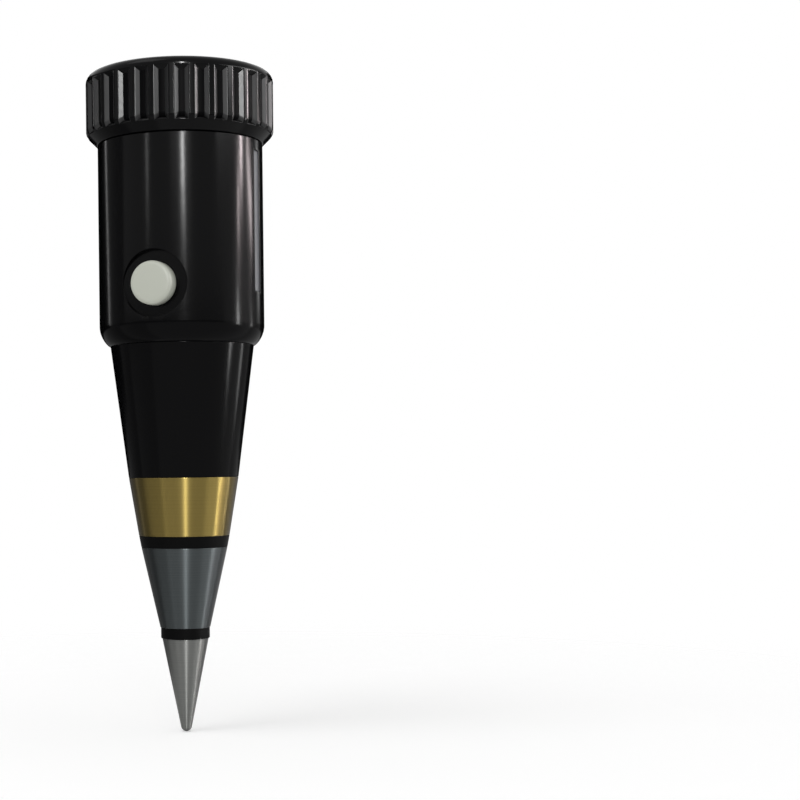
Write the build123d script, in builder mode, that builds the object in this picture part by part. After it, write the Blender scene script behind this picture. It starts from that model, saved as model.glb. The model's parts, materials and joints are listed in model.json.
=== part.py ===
"""Hand-held soil acidity and moisture meter: a cone probe of three electrodes under a moving-coil dial.

Millimetres. The tip of the probe is at the origin, +Z runs up the axis, the button faces -Y,
and the foot of the dial is on the button's side.
"""

import os
from math import asin, atan2, cos, hypot, pi, radians, sin, sqrt, tan

from build123d import *

# Heights of the outside pieces, in order from the tip upwards
tip_length = 23.6
lower_insulator_height = 2.7
zinc_height = 20.2
upper_insulator_height = 2.9
brass_height = 14.6
cone_height = 33.0
grip_height = 50.3
bezel_height = 17.7

# Outside radii of the same pieces, and the bezel's wall outside its thread
nose_radius = 1.4
tip_shoulder_radius = 5.85
lower_insulator_radius = 6.15
zinc_bottom_radius = 6.3
zinc_top_radius = 10.85
brass_bottom_radius = 11.4
brass_top_radius = 13.8
cone_top_radius = 18.05
grip_radius = 20.75
grip_shoulder_round = 6.0
bezel_wall = 3.25

# Clearances: a close location, a screwed or slid-in piece, and a piece that stands clear
close_gap = 0.03
slide_gap = 0.1
stand_gap = 0.3

# Stack of electrodes, clamped on one insulated rod
rod_radius = 2.0
rod_thread_length = 9.5
rod_sleeve_wall = 1.0
lower_spigot_radius = 4.3
lower_spigot_height = 2.0
upper_spigot_radius = 6.4
upper_spigot_height = 3.0
cone_boss_radius = 9.8
cone_boss_height = 4.0
stud_radius = 0.8
stud_circle_radius = 8.1
stud_side = 6.4
stud_thread_length = 5.0
stud_rise = 4.0
stud_sleeve_wall = 0.5
washer_radius = 5.0
washer_thickness = 0.8
lug_radius = 3.6
lug_tongue_end = 1.2
lug_tongue_width = 2.4
lug_thickness = 0.6
nut_across_flats = 7.0
nut_height = 3.2
rod_end_rise = 1.4

# Hollow cone and the spigot that it carries the grip on
cone_floor_thickness = 4.0
cone_wall = 2.3
spigot_step = 1.15
spigot_height = 6.0
spigot_wall = 2.2

# Hollow grip, its threaded neck and the seat of the movement
grip_wall = 2.85
shoulder_step = 0.2
neck_step = 0.7
neck_wall = 1.3
neck_height = 9.5

# Push button in its spot face, and the recess on the side, turned round from the button in degrees
button_radius = 5.3
button_travel = 2.2
button_stand = 3.7
button_round = 1.1
spot_face_margin = 2.9
spot_face_depth = 1.95
guide_length = 3.3
guide_rim = 0.9
guide_above_spigot = 0.7
flange_lip = 1.1
flange_thickness = 1.0
plunger_radius = 1.5
plunger_length = 2.0
recess_turn = 85.5
recess_width = 3.0
recess_depth = 0.5
recess_height = 34.6
recess_rise = 12.9

# Circuit board in two rails behind the button, with the switch on it
leaf_gap = 0.2
leaf_thickness = 0.3
leaf_width = 5.0
leaf_below_button = 3.0
closing_gap = 0.1
rivet_radius = 1.2
block_width = 7.0
block_height = 5.0
block_rise = 8.0
board_thickness = 1.6
board_below_button = 6.6
board_above_button = 14.6
rail_lip = 1.4
rail_cheek = 1.8
rail_slot_depth = 0.9
rail_root = 0.4
resistor_radius = 1.1
resistor_length = 6.5
resistor_rises = (4.5, 8.0)
trimmer_size = 6.0
trimmer_thickness = 3.4
trimmer_from_rail = 1.6
trimmer_rise = 5.6
trimmer_slot_width = 0.6
trimmer_slot_depth = 0.6
trimmer_slot_length = 3.2

# Leads, straight from each terminal along the back of the board
lead_radius = 0.45
electrode_lead_rise = 2.0
movement_lead_rise = 10.0
movement_lead_side = 9.5
terminal_pin_radius = 0.6
terminal_pin_drop = 4.0
terminal_pin_inset = 0.2

# Bezel, window and dial, measured down from the rim
bezel_thread_gap = 0.3
bezel_seat_gap = 0.15
bezel_lip_width = 0.6
lip_round_share = 0.75
top_round_share = 0.61
crystal_ledge = 0.65
crystal_lip = 1.3
rim_slope = 1.7
crystal_depth = 4.2
crystal_thickness = 2.0
gasket_thickness = 0.6
gasket_width = 1.4
surround_wall = 0.7
surround_draft = 0.25
surround_height = 4.1
dial_thickness = 0.8
slot_count = 30
slot_share = 0.6
slot_depth = 0.9
slot_draft = 42.0
slot_from_bottom = 1.6
slot_from_top = 2.3

# Moving-coil movement under the dial
chassis_thickness = 2.0
chassis_bore = 4.6
yoke_radius = 6.9
yoke_bore = 4.5
yoke_height = 8.0
core_radius = 2.8
core_inset = 1.0
core_support_half_angle = 12.0
core_support_height = 3.0
coil_overhang = 0.5
coil_bar = 1.0
coil_depth = 1.4
arbor_radius = 0.35
bridge_lift = 1.4
bridge_thickness = 0.8
bridge_width = 2.4
bridge_half_length = 6.2
lower_bridge_drop = 2.5
jewel_radius = 0.65
jewel_cup_radius = 0.42
jewel_cup_depth = 0.45
jewel_overhang = 0.1
jewel_head_height = 0.4
spring_thickness = 0.12
spring_height = 0.5
spring_rise = 0.5
spring_step = 1.1
spring_half_turns = 3

# Pointer, its stops, and the dial's fastenings
pointer_rest_angle = 25.0
pointer_low_angle = 14.0
pointer_high_angle = 66.0
pointer_length = 20.8
pointer_base_width = 0.55
pointer_end_width = 0.4
pointer_point = 1.2
pointer_thickness = 0.25
pointer_lift = 0.7
pointer_collar_radius = 0.9
pointer_collar_height = 0.8
tail_length = 4.6
weight_radius = 0.85
weight_height = 0.7
weight_place = 3.7
stop_pin_radius = 0.3
stop_pin_rise = 0.9
dial_screw_side = 7.0
dial_screw_drop = 2.0
dial_screw_radius = 0.3
dial_screw_head = 0.45
dial_screw_head_height = 0.3
dial_screw_length = 2.2

# Reeded cover over the movement
cover_edge_drop = 6.3
cover_hub_radius = 8.2
cover_headroom = 0.7
cover_roof = 0.8
cover_wall = 0.7
reed_pitch = 0.75
reed_groove_width = 0.35
reed_groove_depth = 0.25

# Levels worked out from the heights
z_zinc = tip_length + lower_insulator_height
z_upper_insulator = z_zinc + zinc_height
z_brass = z_upper_insulator + upper_insulator_height
z_cone = z_brass + brass_height
z_floor = z_cone + cone_floor_thickness
z_grip = z_cone + cone_height
z_spigot_top = z_grip + spigot_height
z_bezel = z_grip + grip_height
z_top = z_bezel + bezel_height
z_bezel_seat = z_bezel + bezel_seat_gap
z_neck_top = z_bezel + neck_height
z_crystal_top = z_top - crystal_depth
z_crystal = z_crystal_top - crystal_thickness
z_gasket = z_crystal - gasket_thickness
z_surround_top = z_gasket - slide_gap
z_dial_top = z_surround_top - surround_height
z_dial = z_dial_top - dial_thickness
z_ledge = z_dial - chassis_thickness
z_yoke = z_ledge - yoke_height
z_coil_top = z_ledge + coil_overhang
z_coil = z_yoke - coil_overhang
z_bridge = z_dial_top + bridge_lift
z_bridge_top = z_bridge + bridge_thickness
z_lower_bridge_top = z_yoke - lower_bridge_drop
z_lower_bridge = z_lower_bridge_top - bridge_thickness
z_pointer = z_dial_top + pointer_lift
z_pointer_mid = z_pointer + pointer_thickness / 2
z_cover_roof = z_bridge_top + cover_headroom
z_cover_top = z_cover_roof + cover_roof

# Radii and places worked out from the fits
sleeve_radius = rod_radius + slide_gap + rod_sleeve_wall
stack_bore = sleeve_radius + slide_gap
rod_bore = rod_radius + slide_gap
stud_bore = stud_radius + slide_gap
stud_sleeve_radius = stud_bore + stud_sleeve_wall
stud_sleeve_bore = stud_sleeve_radius + slide_gap
spigot_radius = cone_top_radius - spigot_step
spigot_bore = spigot_radius - spigot_wall
grip_mouth = spigot_radius + slide_gap
bore_radius = grip_radius - grip_wall
neck_radius = grip_radius - neck_step
neck_bore = neck_radius - neck_wall
insert_radius = neck_bore - slide_gap
bezel_bore = neck_radius + bezel_thread_gap
bezel_radius = bezel_bore + bezel_wall
bezel_lip_radius = bezel_bore + bezel_lip_width
bezel_lip_round = lip_round_share * (bezel_radius - bezel_lip_radius)
crystal_radius = bezel_bore - crystal_ledge - slide_gap
pocket_radius = crystal_radius + slide_gap
window_radius = crystal_radius - crystal_lip
rim_inner_radius = window_radius + rim_slope
bezel_top_round = top_round_share * (bezel_radius - rim_inner_radius)
surround_bore = insert_radius - surround_wall
cover_radius = surround_bore - slide_gap
pivot_offset = bore_radius - yoke_radius - stand_gap
pivot = (0, -pivot_offset)
coil_inner = core_radius + stand_gap
coil_outer = yoke_bore - stand_gap
dial_cutout_radius = hypot(bridge_half_length, bridge_width / 2) + 2 * stand_gap
stop_pin_circle = (chassis_bore + dial_cutout_radius) / 2
flange_radius = button_radius + flange_lip
guide_radius = flange_radius + guide_rim
z_button = z_spigot_top + guide_above_spigot + guide_radius
spot_face_radius = button_radius + spot_face_margin
spot_face = grip_radius - spot_face_depth
button_face = spot_face + button_stand
guide_face = spot_face - guide_length
flange_face = guide_face - leaf_gap
flange_back = flange_face - flange_thickness
plunger_end = flange_back - plunger_length
leaf_face = plunger_end - leaf_gap
leaf_back = leaf_face - leaf_thickness
lead_row = sqrt(stud_circle_radius**2 - stud_side**2)
board_back = lead_row + lead_radius
board_face = board_back + board_thickness
rivet_height = leaf_back + leaf_gap - button_travel - closing_gap - board_face
board_half_width = sqrt(bore_radius**2 - board_face**2) - rail_slot_depth
trimmer_side = board_half_width - rail_lip - trimmer_from_rail - trimmer_size / 2
z_board = z_button - board_below_button
board_length = board_below_button + board_above_button
zinc_stud_place = (stud_side, -lead_row)
brass_stud_place = (-stud_side, -lead_row)


def profile_corner(profile, radius, height):
    """The corner of a turned profile nearest to a radius and a height."""
    return profile.vertices().sort_by_distance((radius, height))[0]


def on_pivot(height):
    """A level plane at a height, centred on the pointer's pivot."""
    return Plane((*pivot, height))


# Tip electrode: a cone that runs tangent into a round nose, tapped for the rod
shoulder_reach = tip_length - nose_radius
tip_taper = atan2(tip_shoulder_radius, shoulder_reach)
tip_taper -= asin(nose_radius / hypot(tip_shoulder_radius, shoulder_reach))
nose_turn = pi / 2 - tip_taper
nose_end = (nose_radius * sin(nose_turn), nose_radius * (1 - cos(nose_turn)))
nose_middle = (nose_radius * sin(nose_turn / 2), nose_radius * (1 - cos(nose_turn / 2)))
with BuildPart() as tip_electrode:
    with BuildSketch(Plane.XZ):
        with BuildLine():
            ThreePointArc((0, 0), nose_middle, nose_end)
            Polyline(nose_end, (tip_shoulder_radius, tip_length), (0, tip_length), (0, 0))
        make_face()
    revolve(axis=Axis.Z)
    with BuildSketch(Plane.XY.offset(tip_length)):
        Circle(rod_radius + close_gap)
    extrude(amount=-rod_thread_length, mode=Mode.SUBTRACT)

# Lower insulator with a spigot up into the zinc electrode
with BuildPart() as lower_insulator:
    with BuildSketch(Plane.XY.offset(tip_length)):
        Circle(lower_insulator_radius)
    extrude(amount=lower_insulator_height)
    with BuildSketch(Plane.XY.offset(z_zinc)):
        Circle(lower_spigot_radius)
    extrude(amount=lower_spigot_height)
    with BuildSketch(Plane.XY.offset(tip_length)):
        Circle(rod_bore)
    extrude(amount=lower_insulator_height + lower_spigot_height, mode=Mode.SUBTRACT)

# Zinc electrode: a frustum with a socket at each end and a tapped hole for its stud
with BuildPart() as zinc_electrode:
    with BuildSketch(Plane.XZ):
        with BuildLine():
            Polyline(
                (lower_spigot_radius + slide_gap, z_zinc),
                (zinc_bottom_radius, z_zinc),
                (zinc_top_radius, z_upper_insulator),
                (upper_spigot_radius + slide_gap, z_upper_insulator),
                (upper_spigot_radius + slide_gap, z_upper_insulator - upper_spigot_height),
                (stack_bore, z_upper_insulator - upper_spigot_height),
                (stack_bore, z_zinc + lower_spigot_height),
                (lower_spigot_radius + slide_gap, z_zinc + lower_spigot_height),
                close=True,
            )
        make_face()
    revolve(axis=Axis.Z)
    with BuildSketch(Plane.XY.offset(z_upper_insulator)):
        with Locations(zinc_stud_place):
            Circle(stud_radius + close_gap)
    extrude(amount=-stud_thread_length, mode=Mode.SUBTRACT)

# Upper insulator, flush with both cones, with a spigot down into the zinc electrode
with BuildPart() as upper_insulator:
    with BuildSketch(Plane.XZ):
        with BuildLine():
            Polyline(
                (stack_bore, z_upper_insulator - upper_spigot_height),
                (upper_spigot_radius, z_upper_insulator - upper_spigot_height),
                (upper_spigot_radius, z_upper_insulator),
                (zinc_top_radius, z_upper_insulator),
                (brass_bottom_radius, z_brass),
                (stack_bore, z_brass),
                close=True,
            )
        make_face()
    revolve(axis=Axis.Z)
    with BuildSketch(Plane.XY.offset(z_brass)):
        with Locations(zinc_stud_place):
            Circle(stud_bore)
    extrude(amount=-upper_insulator_height, mode=Mode.SUBTRACT)

# Brass electrode: a frustum with a socket for the cone's boss, and holes for both studs
z_brass_socket = z_cone - cone_boss_height
with BuildPart() as brass_electrode:
    with BuildSketch(Plane.XZ):
        with BuildLine():
            Polyline(
                (stack_bore, z_brass),
                (brass_bottom_radius, z_brass),
                (brass_top_radius, z_cone),
                (cone_boss_radius + slide_gap, z_cone),
                (cone_boss_radius + slide_gap, z_brass_socket),
                (stack_bore, z_brass_socket),
                close=True,
            )
        make_face()
    revolve(axis=Axis.Z)
    with BuildSketch(Plane.XY.offset(z_brass)):
        with Locations(zinc_stud_place):
            Circle(stud_sleeve_bore)
    extrude(amount=z_brass_socket - z_brass, mode=Mode.SUBTRACT)
    with BuildSketch(Plane.XY.offset(z_brass_socket)):
        with Locations(brass_stud_place):
            Circle(stud_radius + close_gap)
    extrude(amount=-stud_thread_length, mode=Mode.SUBTRACT)

# Probe cone: a hollow moulding with a boss below its floor and a spigot for the grip above
cone_slope = (cone_top_radius - brass_top_radius) / cone_height
cavity_floor_radius = brass_top_radius + cone_slope * cone_floor_thickness - cone_wall
with BuildPart() as probe_cone:
    with BuildSketch(Plane.XZ):
        with BuildLine():
            Polyline(
                (stack_bore, z_brass_socket),
                (cone_boss_radius, z_brass_socket),
                (cone_boss_radius, z_cone),
                (brass_top_radius, z_cone),
                (cone_top_radius, z_grip),
                (spigot_radius, z_grip),
                (spigot_radius, z_spigot_top),
                (spigot_bore, z_spigot_top),
                (spigot_bore, z_grip),
                (cavity_floor_radius, z_floor),
                (stack_bore, z_floor),
                close=True,
            )
        make_face()
    revolve(axis=Axis.Z)
    with BuildSketch(Plane.XY.offset(z_brass_socket)):
        with Locations(zinc_stud_place, brass_stud_place):
            Circle(stud_bore)
    extrude(amount=z_floor - z_brass_socket, mode=Mode.SUBTRACT)

# Clamp rod with its sleeve, washer, terminal and nut
z_washer_top = z_floor + washer_thickness
z_lug_top = z_washer_top + lug_thickness
z_nut_top = z_lug_top + nut_height
with BuildPart() as tie_rod:
    with BuildSketch(Plane.XY.offset(tip_length - rod_thread_length)):
        Circle(rod_radius)
    extrude(amount=z_nut_top + rod_end_rise - tip_length + rod_thread_length)

z_sleeve = z_zinc + lower_spigot_height
with BuildPart() as rod_sleeve:
    with BuildSketch(Plane.XY.offset(z_sleeve)):
        Circle(sleeve_radius)
        Circle(rod_bore, mode=Mode.SUBTRACT)
    extrude(amount=z_floor - z_sleeve)

with BuildPart() as clamp_washer:
    with BuildSketch(Plane.XY.offset(z_floor)):
        Circle(washer_radius)
        Circle(rod_bore, mode=Mode.SUBTRACT)
    extrude(amount=washer_thickness)

with BuildPart() as tip_terminal:
    with BuildSketch(Plane.XY.offset(z_washer_top)):
        Circle(lug_radius)
        Rectangle(lug_tongue_width, lead_row + lug_tongue_end, align=(Align.CENTER, Align.MAX))
        Circle(rod_bore, mode=Mode.SUBTRACT)
    extrude(amount=lug_thickness)

with BuildPart() as clamp_nut:
    with BuildSketch(Plane.XY.offset(z_lug_top)):
        RegularPolygon(nut_across_flats / 2, 6, major_radius=False)
        Circle(rod_radius + close_gap, mode=Mode.SUBTRACT)
    extrude(amount=nut_height)

# Terminal studs of the zinc and brass electrodes, the zinc one sleeved through the brass
z_stud_top = z_floor + stud_rise
z_zinc_stud = z_upper_insulator - stud_thread_length
with BuildPart() as zinc_stud:
    with BuildSketch(Plane.XY.offset(z_zinc_stud)):
        with Locations(zinc_stud_place):
            Circle(stud_radius)
    extrude(amount=z_stud_top - z_zinc_stud)

z_brass_stud = z_brass_socket - stud_thread_length
with BuildPart() as brass_stud:
    with BuildSketch(Plane.XY.offset(z_brass_stud)):
        with Locations(brass_stud_place):
            Circle(stud_radius)
    extrude(amount=z_stud_top - z_brass_stud)

with BuildPart() as stud_sleeve:
    with BuildSketch(Plane.XY.offset(z_brass)):
        with Locations(zinc_stud_place):
            Circle(stud_sleeve_radius)
            Circle(stud_bore, mode=Mode.SUBTRACT)
    extrude(amount=z_brass_socket - z_brass)

# Grip body: turned outline with a round shoulder, then the button's guide, rails and recess
shoulder_end = cone_top_radius + shoulder_step
shoulder_centre = grip_radius - grip_shoulder_round
shoulder_turn = asin((shoulder_end - shoulder_centre) / grip_shoulder_round)
z_shoulder = z_grip + grip_shoulder_round * cos(shoulder_turn)
shoulder_middle_turn = (shoulder_turn + pi / 2) / 2
shoulder_middle = (
    shoulder_centre + grip_shoulder_round * sin(shoulder_middle_turn),
    z_shoulder - grip_shoulder_round * cos(shoulder_middle_turn),
)
rail_inner = board_half_width - rail_lip
rail_front = board_face + rail_cheek
rail_rear = board_back - rail_cheek
rail_outer = sqrt(bore_radius**2 - rail_rear**2) + rail_root
rail_middle = (rail_front + rail_rear) / 2
board_middle = (board_face + board_back) / 2
z_rail = z_board - close_gap - rail_root
with BuildPart() as grip_body:
    with BuildSketch(Plane.XZ):
        with BuildLine():
            ThreePointArc((shoulder_end, z_grip), shoulder_middle, (grip_radius, z_shoulder))
            Polyline(
                (grip_radius, z_shoulder),
                (grip_radius, z_bezel),
                (neck_radius, z_bezel),
                (neck_radius, z_neck_top),
                (neck_bore, z_neck_top),
                (neck_bore, z_ledge),
                (bore_radius, z_ledge),
                (bore_radius, z_spigot_top + slide_gap),
                (grip_mouth, z_spigot_top + slide_gap),
                (grip_mouth, z_grip),
                (shoulder_end, z_grip),
            )
        make_face()
    revolve(axis=Axis.Z)
    with BuildSketch(Plane.XZ.offset(guide_face)):
        with Locations((0, z_button)):
            Circle(guide_radius)
    extrude(amount=spot_face - guide_face)
    with Locations(
        (-(rail_inner + rail_outer) / 2, -rail_middle, z_rail),
        ((rail_inner + rail_outer) / 2, -rail_middle, z_rail),
    ):
        Box(
            rail_outer - rail_inner,
            rail_front - rail_rear,
            board_length + rail_root,
            align=(Align.CENTER, Align.CENTER, Align.MIN),
        )
    with Locations((0, -board_middle, z_board - close_gap)):
        Box(
            2 * (board_half_width + close_gap),
            board_thickness + 2 * close_gap,
            board_length + close_gap,
            align=(Align.CENTER, Align.CENTER, Align.MIN),
            mode=Mode.SUBTRACT,
        )
    with BuildSketch(Plane.XZ.offset(spot_face)):
        with Locations((0, z_button)):
            Circle(spot_face_radius)
    extrude(amount=grip_radius, mode=Mode.SUBTRACT)
    with BuildSketch(Plane.XZ.offset(guide_face)):
        with Locations((0, z_button)):
            Circle(button_radius + slide_gap)
    extrude(amount=grip_radius, mode=Mode.SUBTRACT)
    recess_place = Rot(0, 0, recess_turn - 90) * Pos(grip_radius - recess_depth, 0, z_grip + recess_rise)
    with Locations(recess_place):
        Box(
            grip_radius,
            recess_width,
            recess_height,
            align=(Align.MIN, Align.CENTER, Align.MIN),
            mode=Mode.SUBTRACT,
        )

# Push button: a round-edged cap with a stop flange and a plunger inside
with BuildPart() as push_button:
    with BuildSketch(Plane.XZ.offset(flange_back)):
        with Locations((0, z_button)):
            Circle(button_radius)
    extrude(amount=button_face - flange_back)
    fillet(push_button.edges().group_by(Axis.Y)[0], button_round)
    with BuildSketch(Plane.XZ.offset(flange_back)):
        with Locations((0, z_button)):
            Circle(flange_radius)
    extrude(amount=flange_thickness)
    with BuildSketch(Plane.XZ.offset(plunger_end)):
        with Locations((0, z_button)):
            Circle(plunger_radius)
    extrude(amount=plunger_length)

# Circuit board with the parts that it carries
with BuildPart() as circuit_board:
    with Locations((0, -board_middle, z_board)):
        Box(
            2 * board_half_width,
            board_thickness,
            board_length,
            align=(Align.CENTER, Align.CENTER, Align.MIN),
        )

with BuildPart() as switch_block:
    with Locations((0, -(board_face + leaf_back) / 2, z_button + block_rise)):
        Box(
            block_width,
            leaf_back - board_face,
            block_height,
            align=(Align.CENTER, Align.CENTER, Align.MIN),
        )

leaf_length = leaf_below_button + block_rise + block_height
with BuildPart() as contact_leaf:
    with Locations((0, -(leaf_face + leaf_back) / 2, z_button - leaf_below_button)):
        Box(
            leaf_width,
            leaf_thickness,
            leaf_length,
            align=(Align.CENTER, Align.CENTER, Align.MIN),
        )

with BuildPart() as contact_rivet:
    with BuildSketch(Plane.XZ.offset(board_face)):
        with Locations((0, z_button)):
            Circle(rivet_radius)
    extrude(amount=rivet_height)

with BuildPart() as resistors:
    for rise in resistor_rises:
        with BuildSketch(Plane.YZ.offset(-resistor_length / 2)):
            with Locations((resistor_radius - board_back, z_button + rise)):
                Circle(resistor_radius)
        extrude(amount=resistor_length)

trimmer_face = board_back - trimmer_thickness
with BuildPart() as trimmer:
    with Locations((trimmer_side, -(board_back + trimmer_face) / 2, z_button + trimmer_rise)):
        Box(trimmer_size, trimmer_thickness, trimmer_size)
    with Locations((trimmer_side, -trimmer_face, z_button + trimmer_rise)):
        Box(trimmer_slot_length, 2 * trimmer_slot_depth, trimmer_slot_width, mode=Mode.SUBTRACT)

# Leads from the three electrodes up to the board
lead_feet = {
    "zinc_lead": (stud_side, z_stud_top),
    "brass_lead": (-stud_side, z_stud_top),
    "tip_lead": (0, z_lug_top),
}
electrode_leads = {}
for lead_name, (side, foot) in lead_feet.items():
    with BuildPart() as electrode_lead:
        with BuildSketch(Plane.XY.offset(foot)):
            with Locations((side, -lead_row)):
                Circle(lead_radius)
        extrude(amount=z_button + electrode_lead_rise - foot)
    electrode_leads[lead_name] = electrode_lead

# Terminal pins of the movement and the two leads from the board up to them
z_pin = z_ledge - terminal_pin_drop
z_movement_lead = z_button + movement_lead_rise
pin_places = ((movement_lead_side, -lead_row), (-movement_lead_side, -lead_row))
with BuildPart() as terminal_pins:
    with BuildSketch(Plane.XY.offset(z_pin)):
        with Locations(*pin_places):
            Circle(terminal_pin_radius)
    extrude(amount=z_dial - terminal_pin_inset - z_pin)

with BuildPart() as movement_leads:
    with BuildSketch(Plane.XY.offset(z_movement_lead)):
        with Locations(*pin_places):
            Circle(lead_radius)
    extrude(amount=z_pin - z_movement_lead)

# Chassis: the plate on the grip's ledge that carries the movement and the dial
dial_screw_places = ((dial_screw_side, -dial_screw_drop), (-dial_screw_side, -dial_screw_drop))
with BuildPart() as movement_chassis:
    with BuildSketch(Plane.XY.offset(z_ledge)):
        Circle(insert_radius)
        with Locations(pivot):
            Circle(chassis_bore, mode=Mode.SUBTRACT)
        with Locations(*dial_screw_places):
            Circle(dial_screw_radius + close_gap, mode=Mode.SUBTRACT)
        with Locations(*pin_places):
            Circle(terminal_pin_radius + close_gap, mode=Mode.SUBTRACT)
    extrude(amount=chassis_thickness)

# Magnet system: soft-iron yoke round a core magnet on two supports
with BuildPart() as yoke_ring:
    with BuildSketch(on_pivot(z_yoke)):
        Circle(yoke_radius)
        Circle(yoke_bore, mode=Mode.SUBTRACT)
    extrude(amount=yoke_height)

core_height = yoke_height - 2 * core_inset
with BuildPart() as core_magnet:
    with BuildSketch(on_pivot(z_yoke + core_inset)):
        Circle(core_radius)
    extrude(amount=core_height)

support_half_width = yoke_bore * sin(radians(core_support_half_angle))
with BuildPart() as core_supports:
    with BuildSketch(on_pivot(z_yoke + (yoke_height - core_support_height) / 2)):
        Rectangle(2 * support_half_width, 2 * yoke_radius)
        Circle(yoke_bore, mode=Mode.INTERSECT)
        Circle(core_radius, mode=Mode.SUBTRACT)
    extrude(amount=core_support_height)

# Bridges: bent strips that hold the jewel screws above and below the coil
bridge_span = bridge_half_length - bridge_thickness
with BuildPart() as upper_bridge:
    with BuildSketch(Plane.XZ.offset(pivot_offset)):
        with Locations((0, z_bridge_top)):
            Rectangle(2 * bridge_half_length, z_bridge_top - z_dial, align=(Align.CENTER, Align.MAX))
        with Locations((0, z_bridge)):
            Rectangle(
                2 * bridge_span,
                z_bridge - z_dial,
                align=(Align.CENTER, Align.MAX),
                mode=Mode.SUBTRACT,
            )
    extrude(amount=bridge_width / 2, both=True)
    with BuildSketch(on_pivot(z_bridge)):
        Circle(jewel_radius + close_gap)
    extrude(amount=bridge_thickness, mode=Mode.SUBTRACT)

with BuildPart() as lower_bridge:
    with BuildSketch(Plane.XZ.offset(pivot_offset)):
        with Locations((0, z_lower_bridge)):
            Rectangle(2 * bridge_half_length, z_yoke - z_lower_bridge, align=(Align.CENTER, Align.MIN))
        with Locations((0, z_lower_bridge_top)):
            Rectangle(
                2 * bridge_span,
                lower_bridge_drop,
                align=(Align.CENTER, Align.MIN),
                mode=Mode.SUBTRACT,
            )
    extrude(amount=bridge_width / 2, both=True)
    with BuildSketch(on_pivot(z_lower_bridge)):
        Circle(jewel_radius + close_gap)
    extrude(amount=bridge_thickness, mode=Mode.SUBTRACT)

z_upper_cup = z_bridge - jewel_overhang
z_lower_cup = z_lower_bridge_top + jewel_overhang
jewel_length = bridge_thickness + jewel_overhang + jewel_head_height
with BuildPart() as jewel_screws:
    with BuildSketch(on_pivot(z_upper_cup)):
        Circle(jewel_radius)
    extrude(amount=jewel_length)
    with BuildSketch(on_pivot(z_lower_cup)):
        Circle(jewel_radius)
    extrude(amount=-jewel_length)
    with BuildSketch(on_pivot(z_upper_cup)):
        Circle(jewel_cup_radius)
    extrude(amount=jewel_cup_depth, mode=Mode.SUBTRACT)
    with BuildSketch(on_pivot(z_lower_cup)):
        Circle(jewel_cup_radius)
    extrude(amount=-jewel_cup_depth, mode=Mode.SUBTRACT)

# Hairsprings: half turns of growing radius from the arbor out to a fixed end
z_upper_spring = z_coil_top + spring_rise
z_lower_spring = z_coil - spring_rise - spring_height
spring_ends = (chassis_bore, bridge_span)
with BuildPart() as hairsprings:
    for level, fixed_end in zip((z_upper_spring, z_lower_spring), spring_ends):
        reaches = [arbor_radius + spring_thickness / 2 + spring_step * n for n in range(spring_half_turns)]
        reaches.append(fixed_end - spring_thickness / 2 - close_gap)
        turn_ends = [(-1) ** n * reach for n, reach in enumerate(reaches)]
        with BuildLine(on_pivot(level + spring_height / 2)) as coil_path:
            for n in range(spring_half_turns):
                centre = (turn_ends[n] + turn_ends[n + 1]) / 2
                radius = abs(turn_ends[n] - turn_ends[n + 1]) / 2
                CenterArc((centre, 0), radius, 180 * (n % 2), 180)
        start = (turn_ends[0], -pivot_offset, level + spring_height / 2)
        with BuildSketch(Plane(start, x_dir=(1, 0, 0), z_dir=(0, 1, 0))):
            Rectangle(spring_thickness, spring_height)
        sweep(path=coil_path.wires()[0])

# Moving coil, its arbors and the pointer, turned to where the pointer rests
rest_turn = radians(pointer_rest_angle)
pointer_right = (cos(rest_turn), -sin(rest_turn), 0)


def pointer_plane(height):
    """A level plane on the pivot whose Y runs along the resting pointer."""
    return Plane((*pivot, height), x_dir=pointer_right, z_dir=(0, 0, 1))


coil_height = z_coil_top - z_coil
with BuildPart() as moving_coil:
    with BuildSketch(pointer_plane(z_coil)):
        Rectangle(2 * coil_outer, coil_depth)
    extrude(amount=coil_height)
    with BuildSketch(pointer_plane(z_coil + coil_bar)):
        Rectangle(2 * coil_inner, 2 * coil_depth)
    extrude(amount=coil_height - 2 * coil_bar, mode=Mode.SUBTRACT)

with BuildPart() as pointer_arbors:
    with BuildSketch(on_pivot(z_coil_top)):
        Circle(arbor_radius)
    extrude(amount=z_upper_cup + jewel_cup_depth - close_gap - z_coil_top)
    with BuildSketch(on_pivot(z_coil)):
        Circle(arbor_radius)
    extrude(amount=z_lower_cup - jewel_cup_depth + close_gap - z_coil)

half_base = pointer_base_width / 2
half_end = pointer_end_width / 2
with BuildPart() as pointer:
    with BuildSketch(pointer_plane(z_pointer)):
        Polygon(
            (-half_base, -tail_length),
            (half_base, -tail_length),
            (half_base, 0),
            (half_end, pointer_length - pointer_point),
            (0, pointer_length),
            (-half_end, pointer_length - pointer_point),
            (-half_base, 0),
            align=None,
        )
    extrude(amount=pointer_thickness)
    with BuildSketch(pointer_plane(z_pointer_mid - pointer_collar_height / 2)):
        Circle(pointer_collar_radius)
    extrude(amount=pointer_collar_height)
    with BuildSketch(pointer_plane(z_pointer_mid - weight_height / 2)):
        with Locations((0, -weight_place)):
            Circle(weight_radius)
    extrude(amount=weight_height)
    with BuildSketch(pointer_plane(z_pointer_mid - pointer_collar_height / 2)):
        Circle(arbor_radius + close_gap)
    extrude(amount=pointer_collar_height, mode=Mode.SUBTRACT)

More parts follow.
